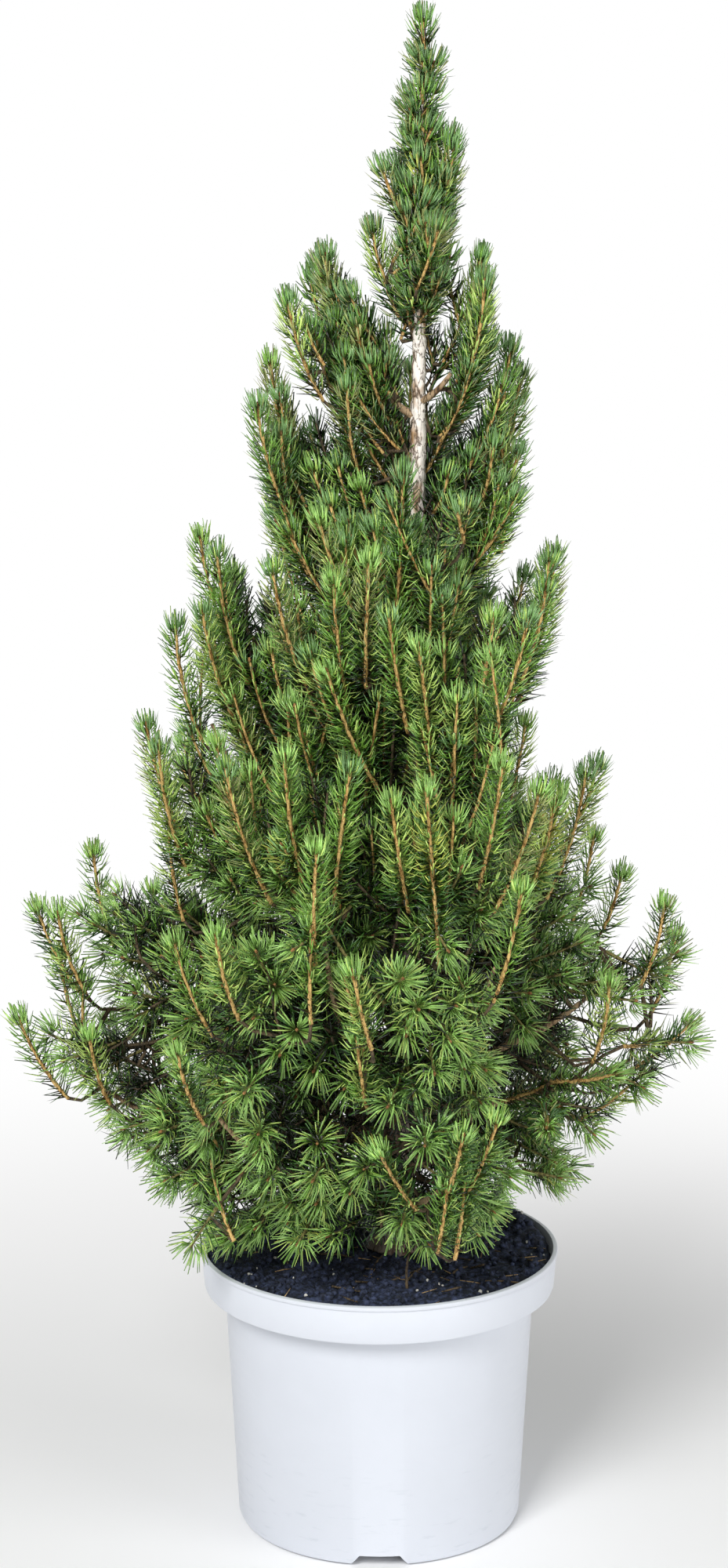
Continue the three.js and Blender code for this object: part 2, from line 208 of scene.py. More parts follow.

# %% [markdown]
# ## Putting a piece in place
# Each finished piece rides on the one body, stands for its node of the frame, which is hidden,
# and gets a material of its own. A piece made with operators may have its place on its object,
# so that is moved into the mesh first.


# %% Settle a piece
def settle(piece, name, material, nodes=()):
    """Names, finishes and seats a piece, and prints what it is."""
    piece.name = piece.data.name = name
    if material is not None:
        piece.data.materials.clear()
        piece.data.materials.append(material)
    bpy.ops.object.select_all(action="DESELECT")
    piece.select_set(True)
    bpy.context.view_layer.objects.active = piece
    bpy.ops.object.transform_apply(location=True, rotation=True, scale=True)
    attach(piece, "root")
    if nodes:
        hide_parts(*nodes)
    piece.data.calc_loop_triangles()
    print(name, len(piece.data.loop_triangles), "triangles")
    return piece


def apply_modifier(piece, kind, **settings):
    """Adds a modifier with its settings and applies it."""
    bpy.ops.object.select_all(action="DESELECT")
    piece.select_set(True)
    bpy.context.view_layer.objects.active = piece
    modifier = piece.modifiers.new(kind.lower(), kind)
    for name, value in settings.items():
        setattr(modifier, name, value)
    bpy.ops.object.modifier_apply(modifier=modifier.name)


# %% [markdown]
# ## The pot
# A nursery pot is injection moulded in polypropylene, with a 2 mm wall, a wide band under a thin
# rolled lip, a shelf where the band steps in to the body, and a raised floor with drain holes
# and three notches in the foot that let water out. It could be a cylinder with loop cuts, but a
# turned thing is easiest to draw as one ring that is pulled from radius to radius: each pull is
# an extrude and a scale. The notches and holes are cut afterwards.

# %% Sizes of the pot
pot_low, pot_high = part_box("pot")
HEIGHT = pot_high[2] - pot_low[2]
WIDEST = (pot_high[0] - pot_low[0]) / 2
LIP = 1.4 * MM  # height of the rolled lip's bead
RIM = WIDEST - LIP / 2
BAND_LOW = HEIGHT - 21 * MM
BAND_FOOT, SHOULDER, FOOT = 93 * MM, 82 * MM, 75.5 * MM
CORNER, WALL, RAISED = 3.5 * MM, 2 * MM, 6.3 * MM
RING = FOOT - CORNER - 3 * MM  # inner edge of the standing ring
PAD = 18 * MM  # the middle of the floor reaches down to the ground here
print("pot:", round(HEIGHT / MM), "mm high,", round(2 * WIDEST / MM), "mm across")

# %% Outline of the pot, from under its middle, up outside, over the lip and down inside
outside = [
    (PAD, 0),
    (PAD + 1 * MM, RAISED),
    (RING - 1 * MM, RAISED),
    (RING, 0),
    (FOOT - CORNER, 0),
    (FOOT - 1.1 * MM, 1.1 * MM),
    (FOOT, CORNER),
    (SHOULDER - 0.1 * MM, BAND_LOW - 4 * MM),
    (SHOULDER + 0.7 * MM, BAND_LOW - 1.4 * MM),
    (SHOULDER + 2.2 * MM, BAND_LOW),
    (BAND_FOOT - 1.6 * MM, BAND_LOW),
    (BAND_FOOT - 0.4 * MM, BAND_LOW + 0.5 * MM),
    (BAND_FOOT, BAND_LOW + 1.6 * MM),
    (RIM, HEIGHT - 3.1 * LIP),
    (RIM - 0.35 * MM, HEIGHT - 2.5 * LIP),
    (RIM - 0.2 * MM, HEIGHT - 1.9 * LIP),
    (RIM + 0.45 * MM, HEIGHT - 1.6 * LIP),
    (RIM + LIP / 2, HEIGHT - LIP),
    (RIM + 0.4 * MM, HEIGHT - 0.3 * LIP),
    (RIM - 0.3 * MM, HEIGHT),
]
inside = [
    (RIM - WALL + 0.3 * MM, HEIGHT),
    (RIM - WALL, HEIGHT - LIP),
    (BAND_FOOT - WALL, BAND_LOW + WALL + 1 * MM),
    (BAND_FOOT - WALL - 1 * MM, BAND_LOW + WALL),
    (SHOULDER - WALL + 2 * MM, BAND_LOW + WALL),
    (SHOULDER - WALL, BAND_LOW),
    (FOOT - WALL, RAISED + WALL + CORNER),
    (FOOT - WALL - CORNER, RAISED + WALL),
    (0.3 * PAD, RAISED + WALL),
]
outline = outside + inside
print("outline:", len(outline), "rings")


# %% Pull the ring along the outline
def pulled_ring(rings, sides):
    """A closed turned shape: a disc whose edge is extruded, moved up and scaled, ring by ring."""
    bpy.ops.object.select_all(action="DESELECT")
    radius, height = rings[0]
    bpy.ops.mesh.primitive_circle_add(
        vertices=sides, radius=radius, fill_type="NGON", location=(0, 0, height)
    )
    bpy.ops.object.transform_apply(location=True)
    bpy.ops.object.mode_set(mode="EDIT")
    bpy.ops.mesh.select_mode(type="VERT")
    bpy.ops.mesh.select_all(action="SELECT")
    for wider, higher in rings[1:]:
        bpy.ops.mesh.extrude_edges_move(
            TRANSFORM_OT_translate={"value": (0, 0, higher - height)}
        )
        grow = wider / radius
        bpy.ops.transform.resize(value=(grow, grow, 1), center_override=(0, 0, higher))
        radius, height = wider, higher
    bpy.ops.mesh.edge_face_add()
    bpy.ops.mesh.select_all(action="SELECT")
    bpy.ops.mesh.normals_make_consistent(inside=False)
    bpy.ops.object.mode_set(mode="OBJECT")
    return bpy.context.object


pot = pulled_ring(outline, 128)
print("pot:", tuple(round(d / MM, 1) for d in pot.dimensions), "mm")


# %% Cutters for the three foot notches and the six drain holes
def cut(piece, cutter):
    """Takes the cutter out of the piece, then deletes the cutter."""
    apply_modifier(piece, "BOOLEAN", operation="DIFFERENCE", object=cutter, solver="EXACT")
    bpy.data.objects.remove(cutter)


NOTCH_LOW, NOTCH_HIGH, NOTCH_DEEP = 33 * MM, 21 * MM, 14 * MM
for turn in (270, 30, 150):
    bpy.ops.object.select_all(action="DESELECT")
    bpy.ops.mesh.primitive_cube_add(size=1, location=(FOOT, 0, RAISED / 2 - 0.5 * MM))
    wedge = bpy.context.object
    wedge.scale = (2 * NOTCH_DEEP, NOTCH_LOW, RAISED + 1 * MM)
    bpy.ops.object.transform_apply(location=True, rotation=False, scale=True)
    for corner in wedge.data.vertices:
        if corner.co.z > RAISED / 2:
            corner.co.y *= NOTCH_HIGH / NOTCH_LOW
    wedge.rotation_euler = (0, 0, math.radians(turn))
    cut(pot, wedge)

for hole in range(6):
    turn = math.radians(60 * hole)
    bpy.ops.object.select_all(action="DESELECT")
    bpy.ops.mesh.primitive_cylinder_add(
        vertices=24,
        radius=4 * MM,
        depth=20 * MM,
        location=(46 * MM * math.cos(turn), 46 * MM * math.sin(turn), RAISED),
    )
    cut(pot, bpy.context.object)
print("pot after cutting:", len(pot.data.polygons), "faces")

# %% [markdown]
# Polypropylene moulded white: satin, with a faint bluish cast from its pigment, a very fine
# unevenness that softens reflections, and grey scuffs low on the body where pots rub on a bench.
# The scuffs are stretched sideways, because pots are slid. The unevenness is drawn about 1.5 mm
# coarse so that it shows.

# %% Finish of the pot
plastic, skin, place = new_material("polypropylene_moulded_white", IOR=1.49)
wave = add(plastic, "TexNoise", {"Vector": place, "Scale": 45.0, "Detail": 3.0})
white = add(
    plastic,
    "Mix",
    {FACTOR: wave.outputs["Fac"], FIRST: linear("D6DAE2"), SECOND: linear("DBDFE7")},
    data_type="RGBA",
)
slid = add(plastic, "Mapping", {"Vector": place, "Scale": (1.0, 1.0, 5.0)})
rub = add(plastic, "TexNoise", {"Vector": slid.outputs["Vector"], "Scale": 70.0, "Detail": 6.0})
height = add(plastic, "SeparateXYZ", {"Vector": place})
low = add(
    plastic,
    "MapRange",
    {"Value": height.outputs["Z"], "From Min": 0.004, "From Max": 0.075, "To Min": 1.0, "To Max": 0.0},
)
streak = add(
    plastic,
    "MapRange",
    {"Value": rub.outputs["Fac"], "From Min": 0.6, "From Max": 0.78, "To Min": 0.0, "To Max": 0.55},
)
scuff = add(plastic, "Math", {0: low.outputs[0], 1: streak.outputs[0]}, operation="MULTIPLY")
worn = add(
    plastic,
    "Mix",
    {FACTOR: scuff.outputs[0], FIRST: white.outputs[MIXED], SECOND: linear("B9C0C9")},
    data_type="RGBA",
)
dull = add(
    plastic,
    "MapRange",
    {"Value": rub.outputs["Fac"], "From Min": 0.3, "From Max": 0.8, "To Min": 0.34, "To Max": 0.5},
)
pits = add(plastic, "TexNoise", {"Vector": place, "Scale": 650.0, "Detail": 2.0})
orange_peel = add(
    plastic, "Bump", {"Strength": 0.12, "Distance": 0.0003, "Height": pits.outputs["Fac"]}
)
finish = {"Base Color": worn.outputs[MIXED], "Roughness": dull.outputs[0]}
connect(plastic, skin, finish | {"Normal": orange_peel.outputs[0]})

# %% Smooth and seat the pot
bpy.ops.object.select_all(action="DESELECT")
pot.select_set(True)
bpy.context.view_layer.objects.active = pot
bpy.ops.object.shade_smooth_by_angle(angle=math.radians(35))
settle(pot, "pot_shell", plastic, ["pot"])

# %% [markdown]
# ## The peat
# Potting peat is near black when moist, and lumpy at every scale: swells of a few centimetres,
# crumbs of 2 to 5 mm and fibres. A copy of the frame's soil is welded, rebuilt as an even skin of
# small faces, smoothed, and then pushed in and out by three sizes of noise. Only the top may
# move, because the sides lie against the pot.


# %% A welded copy of a node
def node_copy(*nodes):
    """One object with copies of those nodes' meshes, their doubled corners merged."""
    kit = bmesh.new()
    for node in nodes:
        kit.from_mesh(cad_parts[node].data)
    bmesh.ops.remove_doubles(kit, verts=kit.verts, dist=0.2 * MM)
    mesh = bpy.data.meshes.new("copy")
    kit.to_mesh(mesh)
    kit.free()
    copy = bpy.data.objects.new("copy", mesh)
    bpy.context.collection.objects.link(copy)
    return copy


def push(piece, name, kind, size, strength, group=""):
    """Moves the skin in and out by a noise of that grain size."""
    noise = bpy.data.textures.new(name, kind)
    noise.noise_scale = size
    apply_modifier(
        piece,
        "DISPLACE",
        texture=noise,
        texture_coords="LOCAL",
        strength=strength,
        mid_level=0.5,
        vertex_group=group,
    )


# %% Lumpy top of the peat
soil_top = BAND_LOW + 16 * MM
peat = node_copy("soil")
apply_modifier(peat, "REMESH", mode="VOXEL", voxel_size=1.9 * MM)
free = peat.vertex_groups.new(name="top")
for corner in peat.data.vertices:
    out = math.hypot(corner.co.x, corner.co.y)
    if corner.co.z > soil_top and out < RIM - WALL:
        free.add([corner.index], min(1, (RIM - WALL - out) / (4 * MM)), "REPLACE")
apply_modifier(peat, "SMOOTH", factor=0.6, iterations=24, vertex_group="top")
push(peat, "swells", "CLOUDS", 16 * MM, 4.5 * MM, "top")
push(peat, "crumbs", "CLOUDS", 4.5 * MM, 4.0 * MM, "top")
push(peat, "grit", "CLOUDS", 2 * MM, 2.2 * MM, "top")

# %% [markdown]
# Moist peat is almost black with a brown cast in its dry crumbs, and quite rough, though the wet
# grains catch a dull light. Dark and light grains are about 3 mm apart, and the bump adds the
# 1 mm grit that the mesh is too coarse to hold.

# %% Finish of the peat
peat_skin, skin, place = new_material("potting_peat_moist", Roughness=0.85, IOR=1.45)
grains = add(peat_skin, "TexNoise", {"Vector": place, "Scale": 330.0, "Detail": 5.0})
dry = add(
    peat_skin,
    "MapRange",
    {"Value": grains.outputs["Fac"], "From Min": 0.42, "From Max": 0.72},
)
tint = add(
    peat_skin,
    "Mix",
    {FACTOR: dry.outputs[0], FIRST: linear("181D2A"), SECOND: linear("465070")},
    data_type="RGBA",
)
grit = add(peat_skin, "TexNoise", {"Vector": place, "Scale": 900.0, "Detail": 3.0})
rough = add(
    peat_skin,
    "MapRange",
    {"Value": grit.outputs["Fac"], "From Min": 0.3, "From Max": 0.7, "To Min": 0.6, "To Max": 0.95},
)
bump = add(peat_skin, "Bump", {"Strength": 0.8, "Distance": 0.0012, "Height": grit.outputs["Fac"]})
finish = {"Base Color": tint.outputs[MIXED], "Roughness": rough.outputs[0]}
connect(peat_skin, skin, finish | {"Normal": bump.outputs[0]})
bpy.context.view_layer.objects.active = peat
peat.data.shade_smooth()
settle(peat, "peat_top", peat_skin, ["soil"])

# %% [markdown]
# ## Many small things as arrays
# Needles, twigs and crumbs are far too many to model one by one. Each kind is worked out as
# arrays of corners and triangles and becomes one joined mesh. Two shapes do nearly all of it: a
# tapering tube for anything woody, and a thin bent spike for a needle.


# %% A joined mesh from arrays
def joined(name, parts, material, nodes=(), smooth=True):
    """One piece from (corners, triangles) parts."""
    corners, faces, first = [], [], 0
    for points, triangles in parts:
        corners.append(points)
        faces.append(triangles + first)
        first += len(points)
    corners, faces = np.concatenate(corners), np.concatenate(faces)
    mesh = bpy.data.meshes.new(name)
    mesh.vertices.add(len(corners))
    mesh.vertices.foreach_set("co", corners.astype(np.float32).ravel())
    mesh.loops.add(faces.size)
    mesh.loops.foreach_set("vertex_index", faces.astype(np.int32).ravel())
    mesh.polygons.add(len(faces))
    mesh.polygons.foreach_set("loop_start", np.arange(0, faces.size, 3, dtype=np.int32))
    mesh.update(calc_edges=True)
    if smooth:
        mesh.shade_smooth()
    piece = bpy.data.objects.new(name, mesh)
    bpy.context.collection.objects.link(piece)
    return settle(piece, name, material, nodes)


def unit(vectors):
    """Vectors at length one."""
    return vectors / np.maximum(np.linalg.norm(vectors, axis=-1, keepdims=True), 1e-9)


def frames(directions):
    """Two directions square to each of the given ones."""
    spare = np.where(np.abs(directions[:, 2:3]) > 0.9, [[1.0, 0, 0]], [[0, 0, 1.0]])
    first = unit(np.cross(directions, spare))
    return first, np.cross(directions, first)


def tube(line, radii, sides):
    """A closed tapering tube along a line of points, its ends drawn to points."""
    line, radii = np.asarray(line), np.asarray(radii)
    count = len(line)
    across, over = frames(unit(np.gradient(line, axis=0)))
    turns = np.arange(sides) * 2 * np.pi / sides
    ring = across[:, None] * np.cos(turns)[:, None] + over[:, None] * np.sin(turns)[:, None]
    wall = line[:, None] + ring * radii[:, None, None]
    ends = np.array([line[0], line[-1]])
    corners = np.concatenate([wall.reshape(-1, 3), ends])
    here = np.arange(count - 1)[:, None] * sides + np.arange(sides)
    beside = np.arange(count - 1)[:, None] * sides + (np.arange(sides) + 1) % sides
    quads = np.stack([here, beside, beside + sides, here, beside + sides, here + sides], -1)
    low, low_next = np.arange(sides), (np.arange(sides) + 1) % sides
    high, high_next = low + (count - 1) * sides, low_next + (count - 1) * sides
    foot = np.stack([low_next, low, np.full(sides, count * sides)], -1)
    head = np.stack([high, high_next, np.full(sides, count * sides + 1)], -1)
    return corners, np.concatenate([quads.reshape(-1, 3), foot, head])


def bent(line, t):
    """Points on a quadratic curve through its three control points."""
    t = np.asarray(t)[:, None]
    a, b, c = line
    return (1 - t) ** 2 * a + 2 * t * (1 - t) * b + t**2 * c


def bent_towards(line, t):
    """The curve's directions at the same places."""
    t = np.asarray(t)[:, None]
    a, b, c = line
    return unit((1 - t) * (b - a) + t * (c - b) + 1e-9)


# %% [markdown]
# ## Reading the wood from the frame
# The trunk's node is a bent taper of rings, so each ring's middle gives the line that the trunk
# follows. A bough's node gives its near end, middle and far end in the same way. From its far
# end each bough goes on inside its mass of foliage, to the mass's furthest tip.


# %% Corner points of a node, and the trunk's line
def corner_points(node):
    """The merged corners of a node as an array, and each corner's neighbours."""
    copy = node_copy(node)
    points = np.array([corner.co[:] for corner in copy.data.vertices])
    beside = [[] for _ in points]
    for a, b in copy.data.edge_keys:
        beside[a].append(b)
        beside[b].append(a)
    triangles = np.array([face.vertices[:] for face in copy.data.polygons])
    bpy.data.objects.remove(copy)
    return points, beside, triangles


points, _, _ = corner_points("trunk")
points = points[np.argsort(points[:, 2])]
rings = np.split(points, np.where(np.diff(points[:, 2]) > 3 * MM)[0] + 1)
rings = [ring for ring in rings if len(ring) >= 5]
trunk_line = np.array([ring.mean(axis=0) for ring in rings])
trunk_radius = np.array(
    [np.linalg.norm(ring - ring.mean(axis=0), axis=1).max() for ring in rings]
)


def trunk_at(height):
    """The middle of the trunk at a height."""
    x = np.interp(height, trunk_line[:, 2], trunk_line[:, 0])
    y = np.interp(height, trunk_line[:, 2], trunk_line[:, 1])
    return np.stack([x, y, np.broadcast_to(height, np.shape(x))], axis=-1)


print("trunk rings:", len(rings), "from", trunk_radius[0] / MM, "to", trunk_radius[-1] / MM, "mm")

# %% Finger tips: corners that all their neighbours point up to
BLUNT = 0.55


def finger_tips(points, beside):
    """Where the long shoots of a mass end, and the way that each one points."""
    tips = []
    for i, others in enumerate(beside):
        ways = unit(points[i] - points[others])
        ahead = unit(ways.mean(axis=0))
        if len(others) >= 3 and (ways @ ahead).min() > BLUNT:
            tips.append((points[i], ahead))
    return tips


masses = {}
for name in MASSES:
    points, beside, triangles = corner_points(name)
    masses[name] = {
        "points": points,
        "triangles": triangles,
        "tips": finger_tips(points, beside),
    }
print("long shoots:", sum(len(mass["tips"]) for mass in masses.values()))


# %% The limb inside each mass
ELBOW_OUT, ELBOW_UP = 0.72, 0.16  # a bough goes out first and then turns up
LIMB_STEP = 6 * MM
LEADER = 48 * MM  # the last stretch before the tip is the leading shoot's


def limb_line(name):
    """Points along the limb that carries a mass, from where its bough ends almost to its tip."""
    mass = masses[name]
    bough = name.replace("foliage_", "bough_")
    tips = np.array([tip for tip, _ in mass["tips"]])
    if bough in BOUGHS:
        points, _, _ = corner_points(bough)
        out = np.linalg.norm((points - trunk_at(points[:, 2]))[:, :2], axis=1)
        points = points[np.argsort(out)]
        root, far = trunk_at(points[:8, 2].mean()), points[-4:].mean(axis=0)
    else:
        root = far = trunk_at(mass["points"][:, 2].min() - 8 * MM)
    lead = tips[np.argmax(np.linalg.norm(tips - far, axis=1))]
    span = lead - root
    elbow = root + span * np.array([ELBOW_OUT, ELBOW_OUT, ELBOW_UP])
    line = bent(np.array([root, elbow, lead]), np.linspace(0, 1, 60))
    join = int(np.argmin(np.linalg.norm(line - far, axis=1)))
    rest = line[join:]
    rest = rest + (far - rest[0]) * np.linspace(1, 0, len(rest))[:, None]
    steps = max(5, int(np.linalg.norm(lead - far) / LIMB_STEP))
    share = max(0.3, 1 - LEADER / np.linalg.norm(lead - far))
    picked = np.linspace(0, share * (len(rest) - 1), steps).astype(int)
    return rest[picked]


SPIRE_WOOD = (0.600, 0.772)  # the height of trunk that carries the spire's shoots
BARE_WOOD = (0.185, 0.600)  # the height of trunk that carries shoots between the masses
wood_of = {name: list(limb_line(name)) for name in masses}
limbs = [np.array(wood) for name, wood in wood_of.items() if name != "foliage_spire"]
wood_of["foliage_spire"] = list(trunk_at(np.arange(*SPIRE_WOOD, LIMB_STEP)))
print("limbs:", len(limbs), "points:", sum(len(limb) for limb in limbs))


def carrier(point):
    """The mass whose limb comes nearest to a point."""
    gaps = {
        name: np.linalg.norm(np.array(wood) - point, axis=1).min() for name, wood in wood_of.items()
    }
    return min(gaps, key=gaps.get)


print("a shoot over the rim at the left would spring from", carrier(np.array([-0.1, 0.0, 0.18])))

# %% [markdown]
# ## Bark
# A young spruce has thin pale bark that flakes in scales of 3 to 5 mm, with dark cracks between
# them, and it is rough with the pegs that old needles stood on. Copies of the trunk and boughs
# are rebuilt as even skins of small faces and pushed in and out by two sizes of noise, so the
# relief is real.

# %% Trunk and boughs with their relief
trunk = node_copy("trunk")
apply_modifier(trunk, "SUBSURF", levels=2, render_levels=2, subdivision_type="SIMPLE")
apply_modifier(trunk, "REMESH", mode="VOXEL", voxel_size=1.1 * MM)
apply_modifier(trunk, "SMOOTH", factor=0.5, iterations=4)
push(trunk, "scales", "VORONOI", 4 * MM, 1.1 * MM)
push(trunk, "pegs", "CLOUDS", 2.2 * MM, 0.9 * MM)
boughs = node_copy(*BOUGHS)
apply_modifier(boughs, "REMESH", mode="VOXEL", voxel_size=1.0 * MM)
push(boughs, "bough_scales", "VORONOI", 3 * MM, 0.7 * MM)
push(boughs, "bough_pegs", "CLOUDS", 2 * MM, 0.8 * MM)
print("bark corners:", len(trunk.data.vertices), len(boughs.data.vertices))


# %% Finish of bark
def bark(name, pale, brown, crack_and_shade, flake, painted_shade=0.0):
    """Dry flaking bark: pale scales, brown between them, dark in the cracks, and painted shade that
    darkens it low down.
    """
    material, skin, place = new_material(name, Roughness=0.8, IOR=1.45)
    stood = add(material, "Mapping", {"Vector": place, "Scale": (1.0, 1.0, 0.32)})
    stood = stood.outputs["Vector"]
    stain = add(material, "TexNoise", {"Vector": stood, "Scale": 1 / (1.6 * flake), "Detail": 5.0})
    fine = add(material, "TexNoise", {"Vector": stood, "Scale": 2 / flake, "Detail": 4.0})
    torn = add(
        material,
        "VectorMath",
        {0: fine.outputs["Color"], 1: (flake, flake, flake), 2: stood},
        operation="MULTIPLY_ADD",
    )
    scales = add(
        material,
        "TexVoronoi",
        {"Vector": torn.outputs[0], "Scale": 1 / flake},
        feature="DISTANCE_TO_EDGE",
    )
    patch = add(
        material,
        "MapRange",
        {"Value": stain.outputs["Fac"], "From Min": 0.32, "From Max": 0.52},
    )
    width = add(
        material,
        "MapRange",
        {"Value": patch.outputs[0], "To Min": 0.3, "To Max": 0.06},
    )
    base = add(
        material,
        "Mix",
        {FACTOR: patch.outputs[0], FIRST: linear(brown), SECOND: linear(pale)},
        data_type="RGBA",
    )
    gap = add(
        material,
        "MapRange",
        {
            "Value": scales.outputs["Distance"],
            "From Max": width.outputs[0],
            "To Min": 1.0,
            "To Max": 0.0,
        },
    )
    split = add(
        material,
        "Mix",
        {FACTOR: gap.outputs[0], FIRST: base.outputs[MIXED], SECOND: linear(crack_and_shade)},
        data_type="RGBA",
    )
    rough = add(
        material,
        "MapRange",
        {"Value": fine.outputs["Fac"], "To Min": 0.65, "To Max": 0.95},
    )
    relief = add(
        material,
        "Bump",
        {"Strength": 0.6, "Distance": 0.0006, "Height": scales.outputs["Distance"]},
    )
    # Painted shade: below 57 cm the bark is mixed towards its crack colour by the given share, in full
    # under 40 cm, where the crown shades the trunk.
    height = add(material, "SeparateXYZ", {"Vector": place})
    low_shade = add(
        material,
        "MapRange",
        {"Value": height.outputs["Z"], "From Min": 0.4, "From Max": 0.57, "To Min": painted_shade, "To Max": 0.0},
    )
    colour = add(
        material,
        "Mix",
        {FACTOR: low_shade.outputs[0], FIRST: split.outputs[MIXED], SECOND: linear(crack_and_shade)},
        data_type="RGBA",
    )
    finish = {"Base Color": colour.outputs[MIXED], "Roughness": rough.outputs[0]}
    connect(material, skin, finish | {"Normal": relief.outputs[0]})
    return material


# The trunk takes painted shade on its lower part, which stands inside the crown.
trunk_bark = bark("spruce_bark_flaking", "FFF6EC", "C09A70", "4C3826", 3.2 * MM, painted_shade=0.85)
bough_bark = bark("spruce_bough_bark", "B59A78", "8A6A48", "3E3024", 3.5 * MM)
for limb in (trunk, boughs):
    limb.data.shade_smooth()
settle(trunk, "trunk_bark", trunk_bark, ["trunk"])
settle(boughs, "bough_bark", bough_bark, BOUGHS)

# %% [markdown]
# ## How the crown grows
# The habit of the shoots changes with height. At the top they stand up close to the trunk. In
# the middle they are long and lean out a little. Low down they are short stars that face
# outwards, with longer needles, and the lowest droop. One table by height holds all that.

# %% Habit by height
HABIT_AT = np.array([150, 210, 290, 350, 430, 520, 620, 790]) * MM
HABIT = {
    "up": [-0.4, -0.25, -0.05, 0.45, 1.0, 1.0, 1.0, 1.0],
    "out": [1.0, 1.0, 0.95, 0.55, 0.22, 0.17, 0.22, 0.3],
    "skin": [0.45, 0.45, 0.45, 0.3, 0.12, 0.1, 0.12, 0.12],
    "length": [30, 32, 33, 46, 66, 66, 54, 36],
    "needle": [14.2, 15.2, 15.2, 14.2, 13.8, 13.2, 13.0, 13.6],
    "spacing": [18.5, 19, 19.5, 19, 18, 16, 13.5, 11],
    "open": [74, 74, 74, 70, 66, 60, 50, 46],
    "dense": [1.25, 1.25, 1.25, 1.3, 1.6, 1.7, 2.1, 2.5],
    "star": [1, 1, 1, 0.5, 0.05, 0, 0, 0],
}
WITHOUT_UNIT = ("up", "out", "skin", "dense", "star")


def habit(what, height):
    """The habit's value at a height; lengths are in metres, angles in radians."""
    value = np.interp(height, HABIT_AT, HABIT[what])
    if what in WITHOUT_UNIT:
        return value
    return math.radians(value) if what == "open" else value * MM


print("needles are", habit("needle", 0.25) / MM, "mm long low down")


# %% Points spread over the skin of a mass
def skin_points(mass, count):
    """Random points on a mass's skin, evenly by area, and the outward way at each."""
    corners = mass["points"][mass["triangles"]]
    square = np.cross(corners[:, 1] - corners[:, 0], corners[:, 2] - corners[:, 0])
    areas = np.linalg.norm(square, axis=1)
    picked = chance.choice(len(areas), count, p=areas / areas.sum())
    a, b = np.sqrt(chance.random(count)), chance.random(count)
    share = np.stack([1 - a, a * (1 - b), a * b], axis=1)
    return (corners[picked] * share[:, :, None]).sum(axis=1), unit(square)[picked]


crown_points = np.concatenate([mass["points"] for mass in masses.values()])
firsts = np.cumsum([0] + [len(mass["points"]) for mass in masses.values()])
crown_faces = np.concatenate(
    [mass["triangles"] + first for mass, first in zip(masses.values(), firsts)]
)
crown = BVHTree.FromPolygons(crown_points.tolist(), crown_faces.tolist())
print("crown:", len(crown_faces), "triangles")


# %% Is a point inside the crown, and which way is out?
def outwards(points):
    """The level way out from the trunk at each point."""
    away = points - trunk_at(points[..., 2])
    away[..., 2] = 0
    return unit(away)


def depth(point):
    """How deep a point is under the crown's skin; less than nothing outside it."""
    nearest, face_out, _, _ = crown.find_nearest(Vector(point))
    gap = Vector(point) - nearest
    return gap.length if gap.dot(face_out) < 0 else -gap.length


print("the trunk's middle is", round(depth(trunk_at(0.4)) / MM), "mm deep at 40 cm")

# %% [markdown]
# A shoot is placed by its tip. The frame's long shoots come first: they lead their boughs, and
# turn up to the light a little more than the frame shows.

# %% The long shoots
LONG = 1.05  # a long shoot against its neighbours
UPRIGHT = 2.3  # how strongly a long shoot turns up to the light
LOW = 0.2  # under this height even the leading shoots are short stars
TURN_UP_AT = [0.23, 0.33]  # the turning up sets in between these heights
SHORTEST_LONG = 46 * MM
DRAWN_BACK = 8 * MM  # a low star's stem ends this far short, so that its needles reach the tip
shoots = []


def grow(mass, tip, ahead, length, kind, skirt=False):
    """Note down one more shoot."""
    shoots.append(
        {"mass": mass, "tip": tip, "ahead": ahead, "length": length, "kind": kind, "skirt": skirt}
    )


def grow_long(mass, tip, ahead):
    """A leading shoot whose needles end at that tip."""
    length = max(LONG * habit("length", tip[2]), SHORTEST_LONG) * chance.uniform(0.9, 1.15)
    end = tip - ahead * 0.5 * habit("needle", tip[2])
    grow(mass, end, ahead, length, "long")


for name, mass in masses.items():
    for tip, ahead in mass["tips"]:
        out = outwards(tip)
        ahead = unit(ahead + out * max(0.0, 0.1 - ahead @ out))
        if tip[2] < LOW:
            grow(name, tip - ahead * DRAWN_BACK, ahead, habit("length", tip[2]), "outer")
        else:
            lift = UPRIGHT * np.interp(tip[2], TURN_UP_AT, [0, 1])
            grow_long(name, tip, unit(ahead + np.array([0, 0, lift])))
print("leading shoots:", len(shoots))

# %% [markdown]
# The bud below a spruce's leading bud grows out too, so a leading shoot has a shorter companion
# close beside it. One that would stand out of its mass is left away.

# %% Companions of the leading shoots
BESIDE, BELOW = (5 * MM, 11 * MM), (20 * MM, 40 * MM)
for leader in [shoot for shoot in shoots if shoot["kind"] == "long"]:
    aside = unit(np.cross(leader["ahead"], chance.normal(0, 1, 3)))
    tip = leader["tip"] + aside * chance.uniform(*BESIDE)
    tip = tip - leader["ahead"] * chance.uniform(*BELOW)
    if depth(tip) > 0:
        grow_long(leader["mass"], tip, unit(leader["ahead"] + 0.25 * aside))
print("with companions:", len(shoots))

# %% [markdown]
# The other tips are dealt at random over the skin of each mass, and one is kept if it is far
# enough from every tip so far, as leaves share out light. A tip whose way out is blocked by
# another mass is deep in the crown, so its shoot is thinner and its needles are painted near
# black as painted shade, and higher up, where the crown is open, fewer of those are kept. Two
# boughs at the right are thin of foliage.

